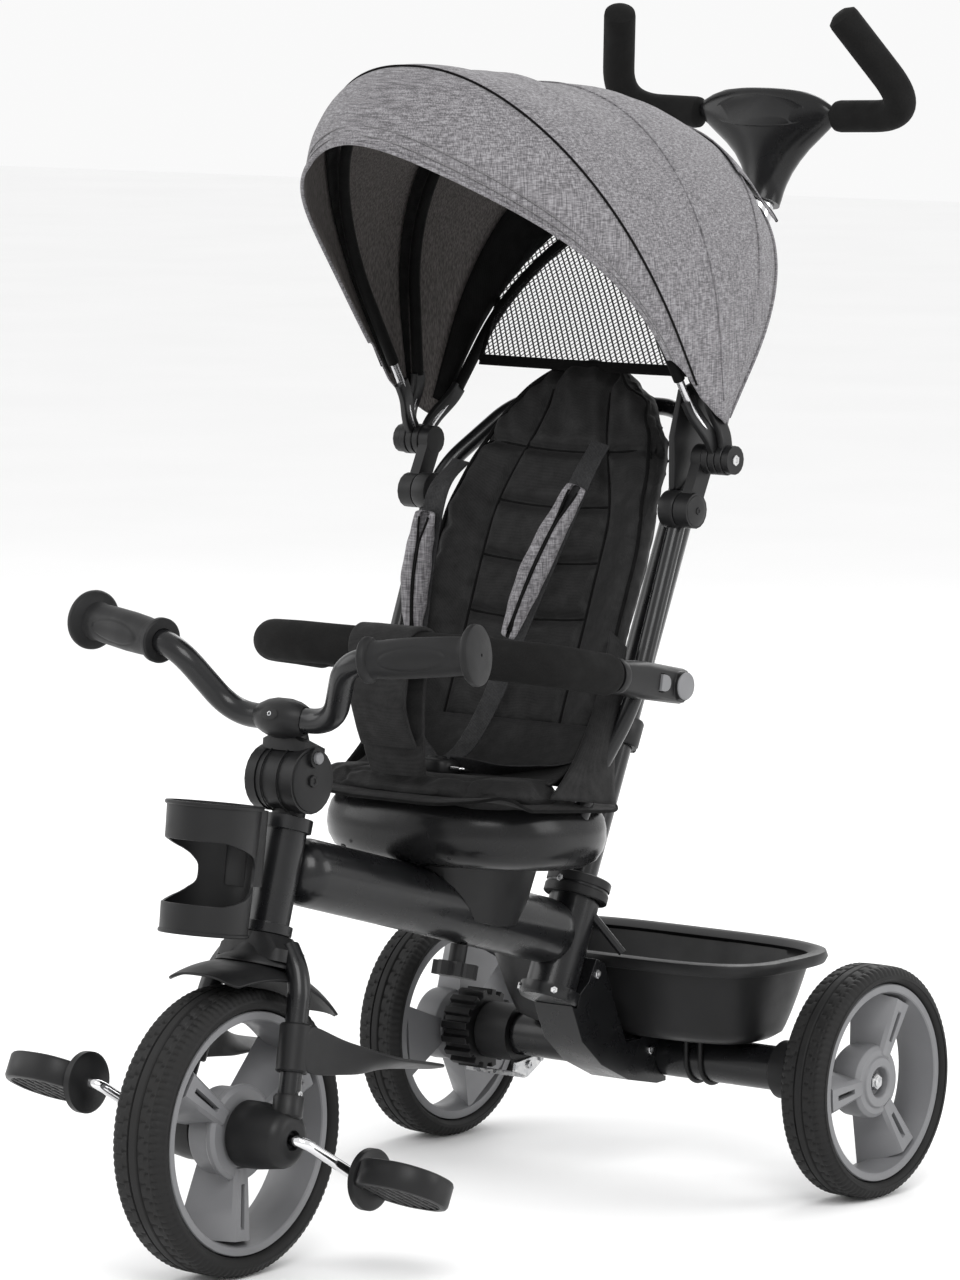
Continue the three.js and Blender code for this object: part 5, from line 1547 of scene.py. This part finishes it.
def bows():
    """Steel bows in black cloth wraps, each foot in a flat plastic socket round the elbow's pin."""
    for name, body in (("front", "canopy_front"), ("middle", "canopy_middle"), ("rear", "canopy_arms")):
        bow = BOWS[name]
        width, ring = bow[1], bow[4]
        feet = [bow_foot(bow, ring, 11), bow_foot(bow, ring, 23), bow_foot(bow, width - 8, 50)]
        mirrored = [Vector((-p.x, p.y, p.z)) for p in feet]
        arch = [bow_point(bow, turn) for turn in range(-80, 81, 8)]
        path = smooth_path(refine(mirrored + arch + feet[::-1], 6), 4)
        fix(tube("bow_tube_" + name, path, 3.6, BOW_METAL, 14), body, "bow_" + name)
        start = 0.3 if name == "front" else 0.1
        ends = [feet[2].lerp(arch[-1], start), mirrored[2].lerp(arch[0], start)]
        wrap = smooth_path(refine([ends[1]] + arch + [ends[0]], 6), 4)
        fix(tube("bow_wrap_" + name, wrap, 5.4, BINDING_AND_SEAM_SHADE, 14), body)
        for sign, side, _ in SIDES:
            foot = [Vector((sign * abs(p.x), p.y, p.z)) for p in feet + [feet[2].lerp(arch[-1], 0.12)]]
            socket = strap(f"bow_socket_{name}_{side}", smooth_path(refine(foot, 4), 3), 3.4, 15, PLASTIC)
            fix(socket, body)
            eye = [(6.6, -3.3), (13.4, -3.3), (14, -2.6), (14, 2.6), (13.4, 3.3), (6.6, 3.3), (6.6, -3.3)]
            spot = CANOPY.at(sign * ring, 0, 0)
            turned(f"bow_eye_{name}_{side}", eye, spot, Vector((1, 0, 0)), PLASTIC, body, segments=48)


def place_cloth(piece):
    """Cloth that follows the front bow as the canopy folds."""
    tilt = math.radians(BOW_MIDDLE)
    start = CANOPY.at(0, 220 * math.cos(tilt), 220 * math.sin(tilt))
    end = CANOPY.at(0, -150 * math.cos(tilt), -150 * math.sin(tilt))
    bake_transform(piece, "canopy_arms", "canopy_front", start=tuple(start), end=tuple(end))


def back_window():
    """Net window and its hem, hanging from the rear bow to the backrest's top."""

    def point(s, t):
        u = 2 * t - 1
        low = Vector((u * 0.13, 0.172 + 0.006 * u * u, 0.753))
        bulge = math.sin(math.pi * s) * (1 - u * u) * 0.006
        return hood_point(BOW_REAR, 0.72 * u, 5).lerp(low, s) + Vector((0, bulge, 0))

    rows = grid(18, 48, point)
    net = solidify(sheet_mesh("window_net", rows, NET), 0.8)
    hem = strap("window_hem", rows[-1], 5, 2.0, BINDING_AND_SEAM_SHADE, (0, 0.35, 1))
    sides = [tube(f"window_edge_{k}", [row[k] for row in rows], 2.2, BINDING_AND_SEAM_SHADE, 10) for k in (0, 48)]
    for piece in [net, hem] + sides:
        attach(piece, "canopy_arms")


# ---------- push handle ----------
def push_handle():
    stations = [
        (17, 17, 776, 2, 0), (17.6, 17, 782, 2, 0), (19, 17.4, 790, 2, -1.4), (21.5, 18, 797, 2, -3.2),
        (27, 19, 808, 2.1, -6.5), (35, 20, 818.5, 2.2, -10.2), (46, 19.6, 828.5, 2.3, -14.6),
        (58, 19, 837, 2.4, -19), (69, 18, 845, 2.5, -22.8), (76, 17, 851.5, 2.6, -25.4),
        (78, 16.6, 857, 2.6, -27.4), (74, 16, 863, 2.6, -29.4), (64, 14, 868.6, 2.5, -31.8),
        (52, 11.6, 872.6, 2.4, -34), (38, 8.5, 874.6, 2.4, -35),
    ]
    rings = [[COLUMN.at(x, y + cy, z) for x, y in oval(hx, hy, 72, p)] for hx, hy, z, p, cy in stations]
    hub = loft("push_body", rings, GLOSSY, sharp=70)
    fix(hub, "push_upper", "push_hub", slot="black_plastic")
    face = []
    for s, lift in ((1, -1.5), (1, 0.2), (0.97, 1.0), (0.9, 1.2)):
        face.append([COLUMN.at(x * s, y, z) for x, y, z in panel_ring(lift)])
    panel = loft("push_panel", face, GLOSSY, sharp=30)
    fix(panel, "push_upper", slot="black_plastic")
    for sign, side, _ in SIDES:
        horn = [
            COLUMN.at(sign * 76, -25.5, 855), COLUMN.at(sign * 173, -31, 855.5),
            COLUMN.at(sign * 125.7, -126, 916),
        ]
        path = refine(bent_path(horn, 50, 16), 4)
        grip = foam_tube("push_foam_" + side, path, 15, FOAM, 7, 36)
        fix(grip, "push_upper", "push_grip_" + side)
    clip = [(15.4, 0), (19, 0), (20.5, 2), (20.5, 24), (19, 26), (15.4, 26), (15.4, 0)]
    up = COLUMN.way(0, 0, 1)
    turned("push_clip", clip, COLUMN.at(0, 0, 236), up, PLASTIC, "push_lower", segments=56)
    tab = stacked(COLUMN, oval(6.5, 4, 28, 3), ((0.8, 236), (1, 238), (1, 262), (0.8, 266)), (0, 22))
    fix(loft("push_clip_tab", tab, PLASTIC, sharp=40), "push_lower")
    top = [(15.3, 0), (17, 0), (17.6, 1.4), (17.6, 14), (16.6, 15.6), (12.7, 15.6), (12.7, 0), (15.3, 0)]
    turned("push_collar", top, COLUMN.at(0, 0, 646), up, PLASTIC, "push_lower", segments=56)


def panel_ring(lift):
    """An oval on the push hub's forward face."""
    return [(a, -44.2 - lift - 0.42 * b + 0.0022 * a * a, 851 + b) for a, b in oval(54, 13.5, 72, 2.2)]


# ---------- studio ----------
def studio():
    bpy.ops.mesh.primitive_plane_add(size=30, location=(0, 0, -0.0005))
    floor = bpy.context.object
    floor.name = "floor"
    floor.data.materials.append(pale_floor())
    world = bpy.data.worlds.new("studio")
    bpy.context.scene.world = world
    world.use_nodes = True
    backdrop = world.node_tree.nodes["Background"]
    backdrop.inputs["Color"].default_value = (1, 1, 1, 1)
    backdrop.inputs["Strength"].default_value = 0.95
    bpy.context.scene.view_settings.view_transform = "Standard"
    for name, spot, size, power in (
        ("key", (2.2, -2.6, 3.4), 2.2, 95), ("fill", (-3.2, -1.8, 2.0), 2.6, 40),
        ("back", (-0.8, 3.2, 2.8), 2.4, 55), ("side", (3.4, 1.6, 1.6), 1.8, 35),
    ):
        light = bpy.data.lights.new(name, "AREA")
        light.size = size
        light.energy = power
        lamp = bpy.data.objects.new(name, light)
        stand(lamp, spot, (0, 0, 0.5))
    camera = bpy.data.cameras.new("camera")
    camera.lens = 184.4
    camera.sensor_width = 36
    eye = bpy.data.objects.new("camera", camera)
    stand(eye, (3.5805, -4.5923, 1.2091), (0, 0.0101, 0.517))
    bpy.context.scene.camera = eye


def stand(thing, spot, target):
    """Puts a lamp or the camera at a spot, aimed at its target."""
    thing.location = spot
    thing.rotation_euler = (Vector(target) - Vector(spot)).to_track_quat("-Z", "Y").to_euler()
    bpy.context.scene.collection.objects.link(thing)


front_wheel()
rear_wheels()
pedals()
fork()
fender()
footrests()
handlebar()
drum()
cup_holder()
main_frame()
brake()
basket()
seat_pan()
backrest_frame()
bumper()
backrest()
seat_cushion()
drape()
crotch_strap()
harness()
bows()
canopy()
push_handle()
studio()
